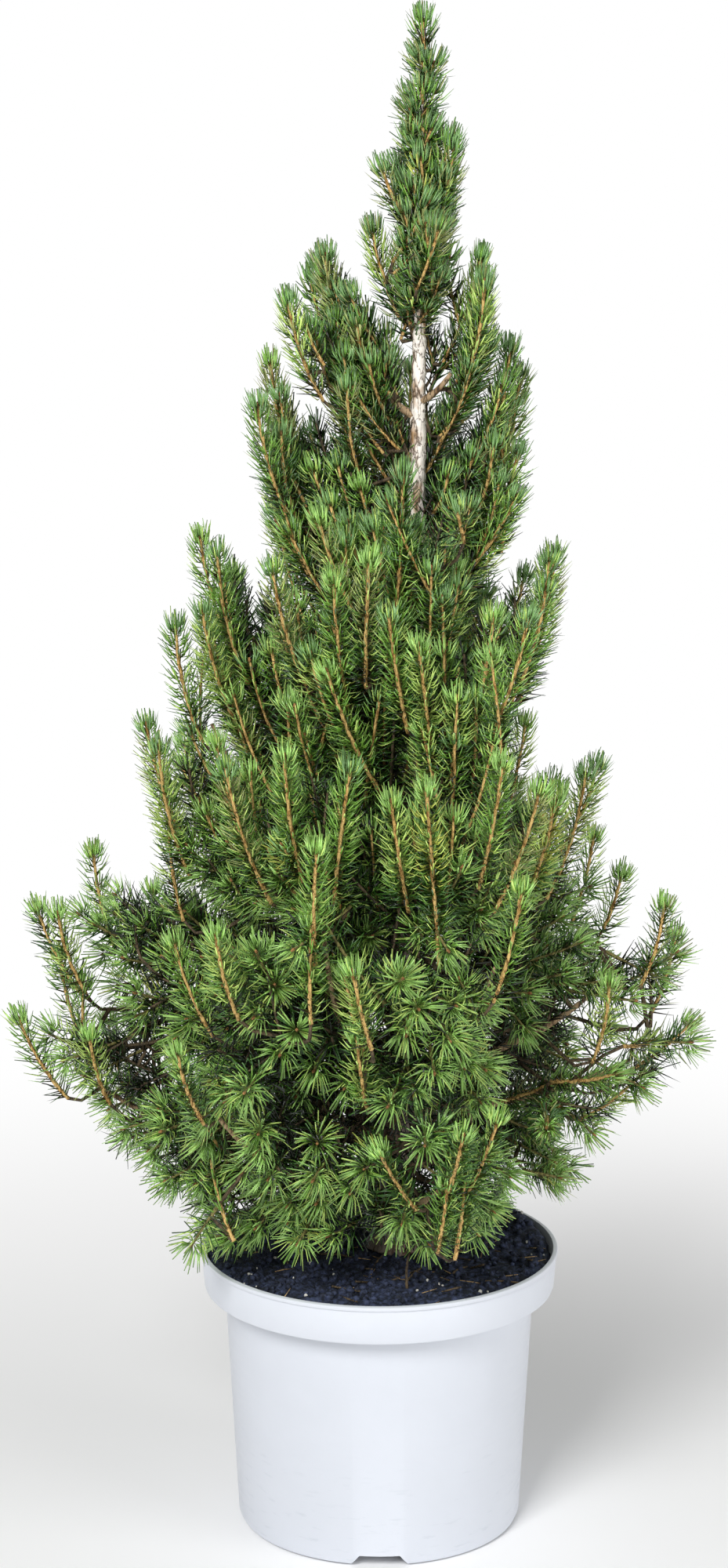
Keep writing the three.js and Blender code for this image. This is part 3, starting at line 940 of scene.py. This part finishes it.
# %% The other tips
TRIALS = 1500  # spots tried on each mass
OUT_OF_SIGHT = 26 * MM
DEEP_AT, DEEP_SHARE = [0.45, 0.6], [1.0, 0.4]  # how many of the hidden tips are kept, by height
THIN = {"foliage_lowest_right": 1.35, "foliage_first_right": 1.2}  # how much wider their spacing
# The dark shoots of the two thin boughs take the dark green as painted shade.
THIN_DEEP, THIN_FILL, THIN_DARK = 0.35, 0.3, 0.5  # shares of their hidden, filling and dark shoots
DROOPING = 0.35  # under this height the shoots on the underside of a mass droop
DOWN_THE_STEM = 22 * MM  # a leading shoot keeps others off this far below its tip too
taken = [shoot["tip"] for shoot in shoots]
taken += [shoot["tip"] - shoot["ahead"] * DOWN_THE_STEM for shoot in shoots]

for name, mass in masses.items():
    spots, faces_out = skin_points(mass, TRIALS)
    for spot, face_out in zip(spots, faces_out):
        apart = THIN.get(name, 1) * habit("spacing", spot[2])
        if (np.linalg.norm(np.array(taken) - spot, axis=1) < apart).any():
            continue
        out = outwards(spot)
        lean = np.array([0, 0, habit("up", spot[2])]) + out * habit("out", spot[2])
        if face_out[2] < -0.2 and spot[2] < DROOPING:
            lean = out + np.array([0, 0, -0.25])
        ahead = unit(lean + habit("skin", spot[2]) * face_out + chance.normal(0, 0.12, 3))
        start = Vector(spot + face_out * MM)
        blocked = [
            crown.ray_cast(start, Vector(way), OUT_OF_SIGHT)[0] is not None
            for way in (ahead, unit(out + 0.3 * face_out))
        ]
        kind = "outer"
        if all(blocked) or (face_out[:2] @ out[:2] < -0.3 and any(blocked)):
            kept = np.interp(spot[2], DEEP_AT, DEEP_SHARE) * (THIN_DEEP if name in THIN else 1)
            if chance.random() > kept:
                continue
            kind = "deep"
        taken.append(spot)
        length = habit("length", spot[2]) * chance.uniform(0.75, 1.2)
        end = spot + face_out * chance.uniform(-7, 0) * MM - ahead * 0.5 * habit("needle", spot[2])
        grow(name, end, ahead, length, kind)
print("with the other tips:", len(shoots))

# %% [markdown]
# Behind the tips a real crown is full of older, shaded shoots, which make it dark and not
# see-through. Here their needles are painted near black as painted shade. Each outer shoot gives
# two of them, a little way in, and the low ones give three.

# %% Filling: short dark shoots a little way under the skin
LOW_CROWN = 0.27  # under this height the filling is denser
FILL_TOP = 0.6  # over this height there is none
COVER_AT, COVER = [0.38, 0.45], [1, 9]  # millimetres under the skin that it keeps, by height
outer_shoots = [shoot for shoot in shoots if shoot["kind"] == "outer"]
low_shoots = [shoot for shoot in outer_shoots if shoot["tip"][2] < LOW_CROWN]
for shoot in outer_shoots * 2 + low_shoots:
    if shoot["mass"] in THIN and chance.random() > THIN_FILL:
        continue
    out = outwards(shoot["tip"])
    spot = shoot["tip"] - out * chance.uniform(14, 30) * MM + chance.normal(0, 8, 3) * MM
    if spot[2] > FILL_TOP or np.linalg.norm((spot - trunk_at(spot[2]))[:2]) < 8 * MM:
        continue
    ahead = unit(shoot["ahead"] + chance.normal(0, 0.35, 3))
    foot = spot - ahead * 0.6 * shoot["length"]
    if depth(spot) < np.interp(spot[2], COVER_AT, COVER) * MM or depth(foot) < -3 * MM:
        continue
    grow(shoot["mass"], spot, ahead, 0.8 * shoot["length"], "deep")
print("with the fill:", len(shoots))

# %% [markdown]
# Small side shoots also spring straight from the trunk and fill the space between the boughs.
# They wind up it by the golden angle, as real ones do, and each reaches part of the way to the
# crown's skin on its own side. In front, the trunk is left to show near the top.

# %% Shoots between the masses, straight from the trunk
BETWEEN = 360
FROM = 0.3  # rays towards the trunk start this far out
SHOWS_FROM = 0.585  # over this height none stands in front of the trunk


def crown_radius(height, out):
    """How far the crown reaches from the trunk on one side, near a height."""
    reach = 0.0
    for level in height + np.array([-18, 0, 18]) * MM:
        start = trunk_at(level) + FROM * out
        _, _, _, gap = crown.ray_cast(Vector(start), Vector(-out), FROM)
        reach = max(reach, FROM - gap if gap is not None else 0.0)
    return reach


for number, height in enumerate(np.linspace(*BARE_WOOD, BETWEEN)):
    turn = number * math.radians(137.5) + chance.normal(0, 0.2)
    out = np.array([math.cos(turn), math.sin(turn), 0.0])
    share = chance.uniform(0.22, 0.85)
    tip = trunk_at(height + 40 * MM) + out * share * crown_radius(height + 40 * MM, out)
    lean = out * habit("out", tip[2]) + np.array([0, 0, max(0.5, habit("up", tip[2]))])
    ahead = unit(lean + chance.normal(0, 0.15, 3))
    inside = depth(tip) > 4 * MM
    hidden = crown.ray_cast(Vector(tip), Vector(out), 60 * MM)[0] is not None
    if tip[2] > SHOWS_FROM and out[1] < 0.3:
        continue
    length = max(28 * MM, 0.7 * habit("length", tip[2]))
    grow("trunk", tip, ahead, length, "deep" if inside or hidden else "outer")
wood_of["trunk"] = list(trunk_at(np.arange(*BARE_WOOD, LIMB_STEP)))
print("shoots with those between:", len(shoots))

# %% [markdown]
# The lowest shoots hang over the peat and hide the foot of the trunk, all the way round apart
# from the front right.

# %% The skirt: low shoots that hang over the peat
SKIRT = (  # heading from and to in degrees, radius and height in mm, how many
    (190, 228, 93, 172, 7),
    (234, 252, 84, 182, 3),
    (268, 292, 62, 186, 3),
    (335, 380, 94, 190, 8),
    (20, 180, 96, 178, 14),
)
for first, last, radius, height, count in SKIRT:
    for turn in np.radians(np.linspace(first, last, count)):
        out = np.array([math.cos(turn), math.sin(turn), 0.0])
        tip = out * (radius + chance.normal(0, 7)) * MM
        tip[2] = (height + chance.uniform(-8, 10)) * MM
        ahead = unit(out + np.array([0, 0, -0.35]) + chance.normal(0, 0.25, 3))
        grow(carrier(tip), tip, ahead, 30 * MM, "outer", skirt=True)
print("with the skirt:", len(shoots))

# %% [markdown]
# The gaps between a spruce's boughs stay open, and so does the ground under them. So a shoot is
# left out if its tip stands clear of every mass, or lies almost on the peat.

# %% Leave out the shoots in the open
CLEAR = 3 * MM  # how far the outer end of a shoot may stand off the nearest mass
HANG = 20 * MM  # and how near the peat it may hang


def in_the_open(shoot):
    """Does the outer end of a shoot stand clear of every mass, or hang down on the peat?"""
    if shoot["kind"] == "long" or shoot["skirt"]:
        return False
    return depth(shoot["tip"]) < -CLEAR or shoot["tip"][2] < soil_top + HANG


stood = len(shoots)
shoots = [shoot for shoot in shoots if not in_the_open(shoot)]
print("shoots in all:", len(shoots), "left out of the open:", stood - len(shoots))

# %% [markdown]
# ## Joining each shoot to the wood
# A shoot bends: it starts more level and turns up towards its tip. Its foot is then joined to the
# wood that is already there. The shoots of a mass are taken from the limb outwards, and each one
# grows from the nearest wood that lies behind it, along a bent twig. That twig is then wood too,
# so later shoots may spring from it, and the crown branches as a real one does.

# %% Grow the twigs
BEHIND = 1.7
OUTSIDE = 7 * MM  # how far a shoot's foot may stand out of the crown
BARE = 20 * MM  # no twig longer than this may run outside the crown
WINDOW = (0.580, 0.632)  # the height where the trunk shows bare at the front
twigs, left_out = [], 0


def crosses_window(line):
    """Does a shoot stand in front of the bare piece of trunk?"""
    points = bent(line, np.linspace(0, 1.1, 8))
    aside = points - trunk_at(points[:, 2])
    level = (points[:, 2] > WINDOW[0]) & (points[:, 2] < WINDOW[1])
    return bool((level & (np.abs(aside[:, 0]) < 10 * MM) & (aside[:, 1] < 0)).any())


for name, wood in wood_of.items():
    own = [shoot for shoot in shoots if shoot["mass"] == name]
    for shoot in own:
        ahead, length = shoot["ahead"], shoot["length"]
        out = outwards(shoot["tip"])
        room = np.linalg.norm((shoot["tip"] - trunk_at(shoot["tip"][2]))[:2])
        steep = max(0.12, ahead @ out + 0.12)
        length = max(14 * MM, min(length, room / steep))
        while length > 22 * MM and depth(shoot["tip"] - ahead * length) < -OUTSIDE:
            if shoot["kind"] == "long":
                break
            length *= 0.8
        shoot["length"] = length
        start = unit(ahead + 0.3 * out - np.array([0, 0, 0.22]))
        bend = shoot["tip"] - ahead * 0.5 * length
        shoot["line"] = np.array([bend - start * 0.5 * length, bend, shoot["tip"]])
        if crosses_window(shoot["line"]):
            shoot["kind"] = "none"
    own = [shoot for shoot in own if shoot["kind"] != "none"]
    own.sort(key=lambda shoot: np.linalg.norm(np.array(wood) - shoot["line"][0], axis=1).min())
    for shoot in own:
        foot = shoot["line"][0]
        start = unit(shoot["line"][1] - foot)
        gaps = foot - np.array(wood)
        far = np.linalg.norm(gaps, axis=1)
        cost = far * (BEHIND - (gaps @ start) / np.maximum(far, 1e-6))
        parent = wood[int(np.argmin(cost))]
        reach = np.linalg.norm(foot - parent)
        line = np.array([parent, foot - start * 0.45 * reach, foot])
        if reach > BARE and depth(bent(line, [0.6])[0]) < -7 * MM:
            shoot["kind"] = "none"
            left_out += 1
            continue
        if reach > 2 * MM:
            twigs.append((line, reach))
            wood += list(bent(line, np.linspace(0.35, 1, max(2, int(reach / (9 * MM))))))
        wood.append(bent(shoot["line"], [0.3])[0])
shoots = [shoot for shoot in shoots if shoot["kind"] != "none"]
print("limbs:", len(limbs), "twigs:", len(twigs), "longest", max(t[1] for t in twigs) / MM, "mm")
print("shoots kept:", len(shoots), "left out as too bare:", left_out)

# %% Limbs and twigs as tapering tubes
parts = []
for line in limbs:
    count = len(line)
    radii = np.linspace(2.3, 1.0, count) * chance.uniform(0.85, 1.15, count) * MM
    parts.append(tube(line, radii, 6))
joined("inner_limbs", parts, bough_bark, BOUGHS)

parts = []
for line, reach in twigs:
    steps = int(np.clip(reach / (9 * MM), 3, 7))
    points = bent(line, np.linspace(-0.02, 1.02, steps))
    points[1:-1] += chance.normal(0, 0.35, (steps - 2, 3)) * MM
    radii = np.linspace(1.15, 0.85, steps) * chance.uniform(0.85, 1.2, steps) * MM
    parts.append(tube(points, radii, 4))
twig_bark = bark("spruce_twig_bark", "665640", "463A2A", "241E16", 2.2 * MM)
joined("twigs", parts, twig_bark, MASSES)

# %% [markdown]
# This year's stems are orange brown and ridged, and they show as bright stripes between the
# needles of the upright shoots. Each ends in a small bud, which marks the middle of every star
# that faces outwards.

# %% Stems and buds
STEM = {"long": (1.05, 0.8), "outer": (0.9, 0.65), "deep": (0.8, 0.6)}
PEGS = 2.6 * MM  # from peg to peg along the stem of a long shoot
stems, star_stems, dark_stems, buds = [], [], [], []
for shoot in shoots:
    steps = 4 if shoot["kind"] == "deep" else max(5, int(shoot["length"] / (7 * MM)))
    if shoot["kind"] == "long":
        steps = int(shoot["length"] / PEGS)
    points = bent(shoot["line"], np.linspace(0, 1, steps))
    points[1:-1] += chance.normal(0, 0.15, (steps - 2, 3)) * MM
    wide, thin = STEM[shoot["kind"]]
    radii = np.linspace(wide, thin, steps) * chance.uniform(0.85, 1.25, steps) * MM
    # The stems of deep shoots take the dark twig bark: older bark, and painted shade inside the crown.
    if shoot["kind"] == "deep":
        dark_stems.append(tube(points, radii, 4))
    else:
        star = shoot["kind"] == "outer" and habit("star", shoot["tip"][2]) > 0.3
        (star_stems if star else stems).append(tube(points, radii, 4 if star else 5))
        bud = shoot["tip"] + np.outer([-0.4, 0.8, 2.3], shoot["ahead"]) * MM
        buds.append(tube(bud, np.array([0.7, 1.0, 0.4]) * MM, 4))
stem_bark = bark("young_stem_bark", "E4BE78", "C0934C", "6E4A22", 1.3 * MM)
bud_scale = bark("bud_scales_dry", "B08050", "8E5F34", "54361E", 1.2 * MM)
shaded_bark = bark("shaded_stem_bark", "8F8650", "6C6438", "464020", 1.6 * MM)
joined("stems", stems, stem_bark, MASSES)
joined("star_stems", star_stems, shaded_bark, MASSES)
joined("old_shaded_stems", dark_stems, twig_bark, MASSES)
joined("buds", buds, bud_scale, MASSES)

# %% [markdown]
# ## Needles
# A spruce needle is a stiff four-sided spike, 9 to 14 mm long and under a millimetre thick, set
# all round its stem on a peg. Here it is 9 to 17 mm long and about a millimetre thick, because
# there are fewer than on a real plant. Needles stand nearly square to the stem at its foot and lean
# forwards towards its tip, where they close into a tuft, and each curves a little forwards. A
# closed spike of eight triangles gives that: it starts in a point on the stem, has three sides
# and a slight bend in its middle, and ends in a short blunt edge. In the shade inside the crown a
# straight splinter of four triangles is enough.

# %% Where the needles of one shoot stand
GOLDEN = math.radians(137.5)
DENSITY = {"long": 1.7, "outer": 1.08, "deep": 0.68}  # against the habit's needles for each mm
TUFT = {"long": 38, "outer": 24, "deep": 4}
PLENTY = 0.93  # scales all the needles together
LONG_OPEN, LONG_NEEDLE = math.radians(61), 12.6 * MM


def needles_on(shoot):
    """Foot, way of the stem, way out from it, length, lean and place along the stem of each."""
    kind, length = shoot["kind"], shoot["length"]
    height = shoot["tip"][2]
    count = int(PLENTY * DENSITY[kind] * habit("dense", height) * length / MM)
    star = 0 if kind == "long" else habit("star", height)
    tuft = int(TUFT[kind] * (1 + 0.35 * star))
    t = np.sort(chance.uniform(0.03 + 0.27 * star, 0.96, count))
    t = np.concatenate([t, chance.uniform(0.94, 1, tuft)])
    stem = bent_towards(shoot["line"], t)
    across, over = frames(stem)
    turn = np.arange(count + tuft) * GOLDEN + chance.normal(0, 0.3, count + tuft)
    out = across * np.cos(turn)[:, None] + over * np.sin(turn)[:, None]
    wide, most = habit("open", height), habit("needle", height)
    if kind == "long":
        wide, most = min(wide, LONG_OPEN), min(most, LONG_NEEDLE)
    lean = np.interp(t, [0, 0.6, 0.94], [1.12 * wide, wide, (0.82 + 0.12 * star) * wide])
    lean = lean + chance.normal(0, 0.13, count + tuft)
    brush = wide * np.sqrt(chance.random(tuft)) * (0.82 + 0.28 * star)
    lean[count:] = np.maximum(brush, 0.12)
    long = most * np.interp(t, [0, 0.5, 1], [0.95, 1.05, 0.88 + 0.1 * star])
    long = long * chance.uniform(0.82, 1.1, count + tuft)
    foot = bent(shoot["line"], t) + out * 0.5 * MM
    return foot, stem, out, long, lean, t


def ends(foot, stem, out, long, lean, thick):
    """Middle and tip of each needle, and its two half widths, across and upwards."""
    long, lean = long[:, None], lean[:, None]
    first = stem * np.cos(lean + 0.3) + out * np.sin(lean + 0.3)
    then = stem * np.cos(lean - 0.35) + out * np.sin(lean - 0.35)
    middle = foot + first * 0.4 * long
    across = unit(np.cross(stem, out))
    half = thick[:, None] / 2
    return middle, middle + then * 0.6 * long, across * half, np.cross(across, first) * half


def spikes(foot, *rest):
    """Corners and triangles of bent spikes, six corners and eight triangles each."""
    middle, tip, across, rise = ends(foot, *rest)
    low = middle - 0.5 * rise
    corners = [foot, middle + rise, low + 0.87 * across, low - 0.87 * across]
    corners = np.stack(corners + [tip + 0.55 * across, tip - 0.55 * across], axis=1)
    pattern = [[0, 2, 1], [0, 3, 2], [0, 1, 3], [1, 4, 5], [1, 2, 4], [2, 3, 5], [2, 5, 4], [3, 1, 5]]
    triangles = np.array(pattern) + 6 * np.arange(len(foot))[:, None, None]
    return corners.reshape(-1, 3), triangles.reshape(-1, 3)


def splinters(foot, *rest):
    """Corners and triangles of straight splinters, four corners and four triangles each."""
    _, tip, across, rise = ends(foot, *rest)
    corners = np.stack([foot + rise, foot - rise, tip + 0.8 * across, tip - 0.8 * across], axis=1)
    pattern = [[0, 1, 2], [0, 3, 1], [2, 3, 0], [2, 1, 3]]
    triangles = np.array(pattern) + 4 * np.arange(len(foot))[:, None, None]
    return corners.reshape(-1, 3), triangles.reshape(-1, 3)


foot, stem, out, long, lean, t = needles_on(shoots[0])
print("first shoot:", len(t), "needles, mean length", round(long.mean() / MM, 1), "mm")

# %% [markdown]
# The colours that have a place are dealt out by spray: each shoot draws its own green from what
# grows at its height, and the tuft at its tip is the bluer and paler green of new growth. Deep
# shoots are painted near black, a little lighter higher up, as painted shade. Near the foot of
# each stem the needles are darker, partly as older needles and partly as painted shade at the
# back of the shoot, and the larger share of dark green low down and on the two thin boughs at
# the right is painted shade too. Each green is a joined piece with a plain waxy material of its own.

# %% Deal out the greens
GREENS = {
    "tuft": "9ACA68",
    "blue": "78A460",
    "fresh": "B8D86C",
    "olive": "94A05A",
    "mid": "72A43A",
    # deep: a darker green, for older needles and for painted shade
    "deep": "325F1A",
    # shade: near black, painted shade for needles inside the crown
    "shade": "0A1808",
    "yellow": "BCCA5A",
}
SHARES_AT = np.array([180, 350, 500, 790]) * MM
SHARES = {
    "fresh": [0.26, 0.36, 0.30, 0.08],
    "mid": [0.30, 0.38, 0.38, 0.24],
    # the large share of dark green low down is painted shade
    "deep": [0.34, 0.18, 0.14, 0.20],
    "olive": [0.00, 0.02, 0.13, 0.40],
    "yellow": [0.12, 0.06, 0.03, 0.00],
}
heaps = {green: [] for green in GREENS}
for shoot in shoots:
    parts = needles_on(shoot)
    t = parts[5]
    odds = np.array([np.interp(shoot["tip"][2], SHARES_AT, row) for row in SHARES.values()])
    own = chance.choice(list(SHARES), p=odds / odds.sum())
    # Painted shade: the thin boughs at the right stand against the light, so half their shoots take the
    # dark green.
    if shoot["mass"] in THIN and chance.random() < THIN_DARK:
        own = "deep"
    high = float(np.interp(shoot["tip"][2], [0.36, 0.62], [0, 1]))
    green = np.full(len(t), own, dtype="<U8")
    stray = chance.random(len(t))
    green[stray < 0.3] = "mid"
    green[stray < 0.16] = "olive" if high > 0.8 or shoot["mass"] in THIN else "fresh"
    # Near the foot of each stem the needles turn darker: older needles, and painted shade at the back of
    # the shoot.
    old_shaded_part = 0.3 if shoot["kind"] == "long" else 0.55
    green[stray > 0.85 - 0.6 * (t < old_shaded_part)] = "deep"
    green[(t < 0.6 * old_shaded_part) & (stray > 0.65)] = "shade"
    # Painted shade: the needles of deep shoots are near black, a little lighter higher up.
    if shoot["kind"] == "deep":
        green[:] = "shade"
        green[stray < 0.25 + 0.5 * high] = "deep"
    else:
        green[(t > 0.9) & (stray > 0.3)] = "blue" if chance.random() < high else "tuft"
    thick = np.where(stray > 0.5, 1.0, 0.85) * MM
    for kind in np.unique(green):
        chosen = green == kind
        heaps[kind].append([part[chosen] for part in parts[:5]] + [thick[chosen]])
counts = {green: sum(len(part[0]) for part in heap) for green, heap in heaps.items()}
print("needles:", counts, "in all", sum(counts.values()))


# %% Finish of the needles
def needle_wax(green, colour):
    """Living spruce needle: a waxy skin with fine pale lines, which gives a soft broad gleam."""
    material, skin, place = new_material("spruce_needle_" + green, IOR=1.45)
    skin.inputs["Specular IOR Level"].default_value = 0.6
    skin.inputs["Coat Weight"].default_value = 0.5
    skin.inputs["Coat Roughness"].default_value = 0.3
    bloom = add(material, "TexNoise", {"Vector": place, "Scale": 160.0, "Detail": 2.0})
    mottle = add(
        material,
        "MapRange",
        {"Value": bloom.outputs["Fac"], "From Min": 0.35, "From Max": 0.65},
    )
    r, g, b, _ = linear(colour)
    tint = add(
        material,
        "Mix",
        {
            FACTOR: mottle.outputs[0],
            FIRST: (r * 0.6, g * 0.6, b * 0.58, 1),
            SECOND: (min(1, r * 1.4), min(1, g * 1.32), min(1, b * 1.4), 1),
        },
        data_type="RGBA",
    )
    gleam = add(
        material,
        "MapRange",
        {"Value": bloom.outputs["Fac"], "To Min": 0.3, "To Max": 0.5},
    )
    lines = add(material, "TexNoise", {"Vector": place, "Scale": 1500.0, "Detail": 1.0})
    relief = add(
        material, "Bump", {"Strength": 0.15, "Distance": 0.0002, "Height": lines.outputs["Fac"]}
    )
    finish = {"Base Color": tint.outputs[MIXED], "Roughness": gleam.outputs[0]}
    connect(material, skin, finish | {"Normal": relief.outputs[0]})
    return material


# %% Join the needles, each green apart, in pieces under 200,000 triangles
MOST = 190_000
for green, heap in heaps.items():
    columns = [np.concatenate(column) for column in zip(*heap)]
    wax = needle_wax(green, GREENS[green])
    shape, each = (splinters, 4) if green in ("shade", "deep") else (spikes, 8)
    for number, first in enumerate(range(0, len(columns[0]), MOST // each), 1):
        some = [column[first : first + MOST // each] for column in columns]
        joined(f"needles_{green}_{number}", [shape(*some)], wax, MASSES, smooth=False)

# %% [markdown]
# ## What lies on the peat
# Loose crumbs of peat, white grains of perlite, and dry tan needles and bits of twig that fell
# from the plant. They are dropped straight down on the peat, so each lies on its surface.

# %% Drop points on the peat
ground = BVHTree.FromPolygons(
    [corner.co[:] for corner in peat.data.vertices], [face.vertices[:] for face in peat.data.polygons]
)
INSIDE = 88 * MM


def dropped(count, clear=12 * MM):
    """Points on top of the peat, clear of the trunk, with the way up at each."""
    spots = []
    while len(spots) < count:
        x, y = chance.uniform(-INSIDE, INSIDE, 2)
        if math.hypot(x, y) > INSIDE or math.hypot(x - trunk_line[0][0], y) < clear:
            continue
        hit, up, _, _ = ground.ray_cast(Vector((x, y, 0.2)), Vector((0, 0, -1)))
        if hit is not None:
            spots.append((np.array(hit), np.array(up)))
    return spots


# %% Crumbs and perlite
kit = bmesh.new()
bmesh.ops.create_icosphere(kit, subdivisions=1, radius=1)
BALL = np.array([corner.co[:] for corner in kit.verts])
BALL_FACES = np.array([[corner.index for corner in face.verts] for face in kit.faces])
kit.free()


def lumps(count, small, large, sunk):
    """Uneven little balls pressed into the peat."""
    parts = []
    for spot, up in dropped(count):
        size = chance.uniform(small, large) * chance.uniform(0.7, 1.2, 3)
        rough = BALL * chance.uniform(0.75, 1.2, (len(BALL), 1)) * size
        parts.append((rough + spot + up * size[2] * sunk, BALL_FACES))
    return parts


white_grain, skin, place = new_material("perlite_expanded_glass", Roughness=0.9, IOR=1.5)
pores = add(white_grain, "TexNoise", {"Vector": place, "Scale": 1200.0, "Detail": 2.0})
chalk = add(
    white_grain,
    "Mix",
    {FACTOR: pores.outputs["Fac"], FIRST: linear("B9B6AE"), SECOND: linear("EFEDE6")},
    data_type="RGBA",
)
pitted = add(white_grain, "Bump", {"Strength": 0.5, "Distance": 0.0004, "Height": pores.outputs["Fac"]})
connect(white_grain, skin, {"Base Color": chalk.outputs[MIXED], "Normal": pitted.outputs[0]})
joined("peat_crumbs", lumps(1100, 0.9 * MM, 2.6 * MM, 0.1), peat_skin, ["soil"])
joined("perlite", lumps(55, 0.5 * MM, 1.3 * MM, 0.5), white_grain, ["soil"])

# %% Fallen needles, twiglets and the little stick
def lying(spot, up, length, lift):
    """A bent line of that length lying on the peat."""
    turn = chance.uniform(0, 2 * math.pi)
    way = np.array([math.cos(turn), math.sin(turn), 0.0])
    way = unit(way - up * (way @ up) + up * lift)
    side = np.cross(way, up) * chance.normal(0, 0.12) * length
    return np.array([spot - way * length / 2, spot + side, spot + way * length / 2]) + up * 0.5 * MM


parts = []
for spot, up in dropped(50):
    line = lying(spot, up, chance.uniform(8, 13) * MM, chance.normal(0, 0.08))
    parts.append(tube(bent(line, [0, 0.5, 1]), np.array([0.25, 0.42, 0.15]) * MM, 3))
straw = bark("dry_needle_straw", "B4976E", "846B4A", "54422E", 2 * MM)
joined("fallen_needles", parts, straw, ["soil"])

parts = []
for spot, up in dropped(26):
    line = lying(spot, up, chance.uniform(14, 26) * MM, chance.normal(0, 0.15))
    parts.append(tube(bent(line, np.linspace(0, 1, 5)), np.full(5, 0.6 * MM), 5))
STICK_AT = (14 * MM, -62 * MM)
hit, _, _, _ = ground.ray_cast(Vector((*STICK_AT, 0.2)), Vector((0, 0, -1)))
stick = np.array([hit, hit + Vector((-1, 0, 9)) * MM, hit + Vector((1, 1, 19)) * MM])
parts.append(tube(bent(stick, np.linspace(-0.1, 1, 6)), np.linspace(0.9, 0.6, 6) * MM, 6))
joined("fallen_twigs", parts, twig_bark, ["soil"])

# %% The box around everything that is drawn
low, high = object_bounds()
print("box:", [round(v, 4) for v in low], [round(v, 4) for v in high])
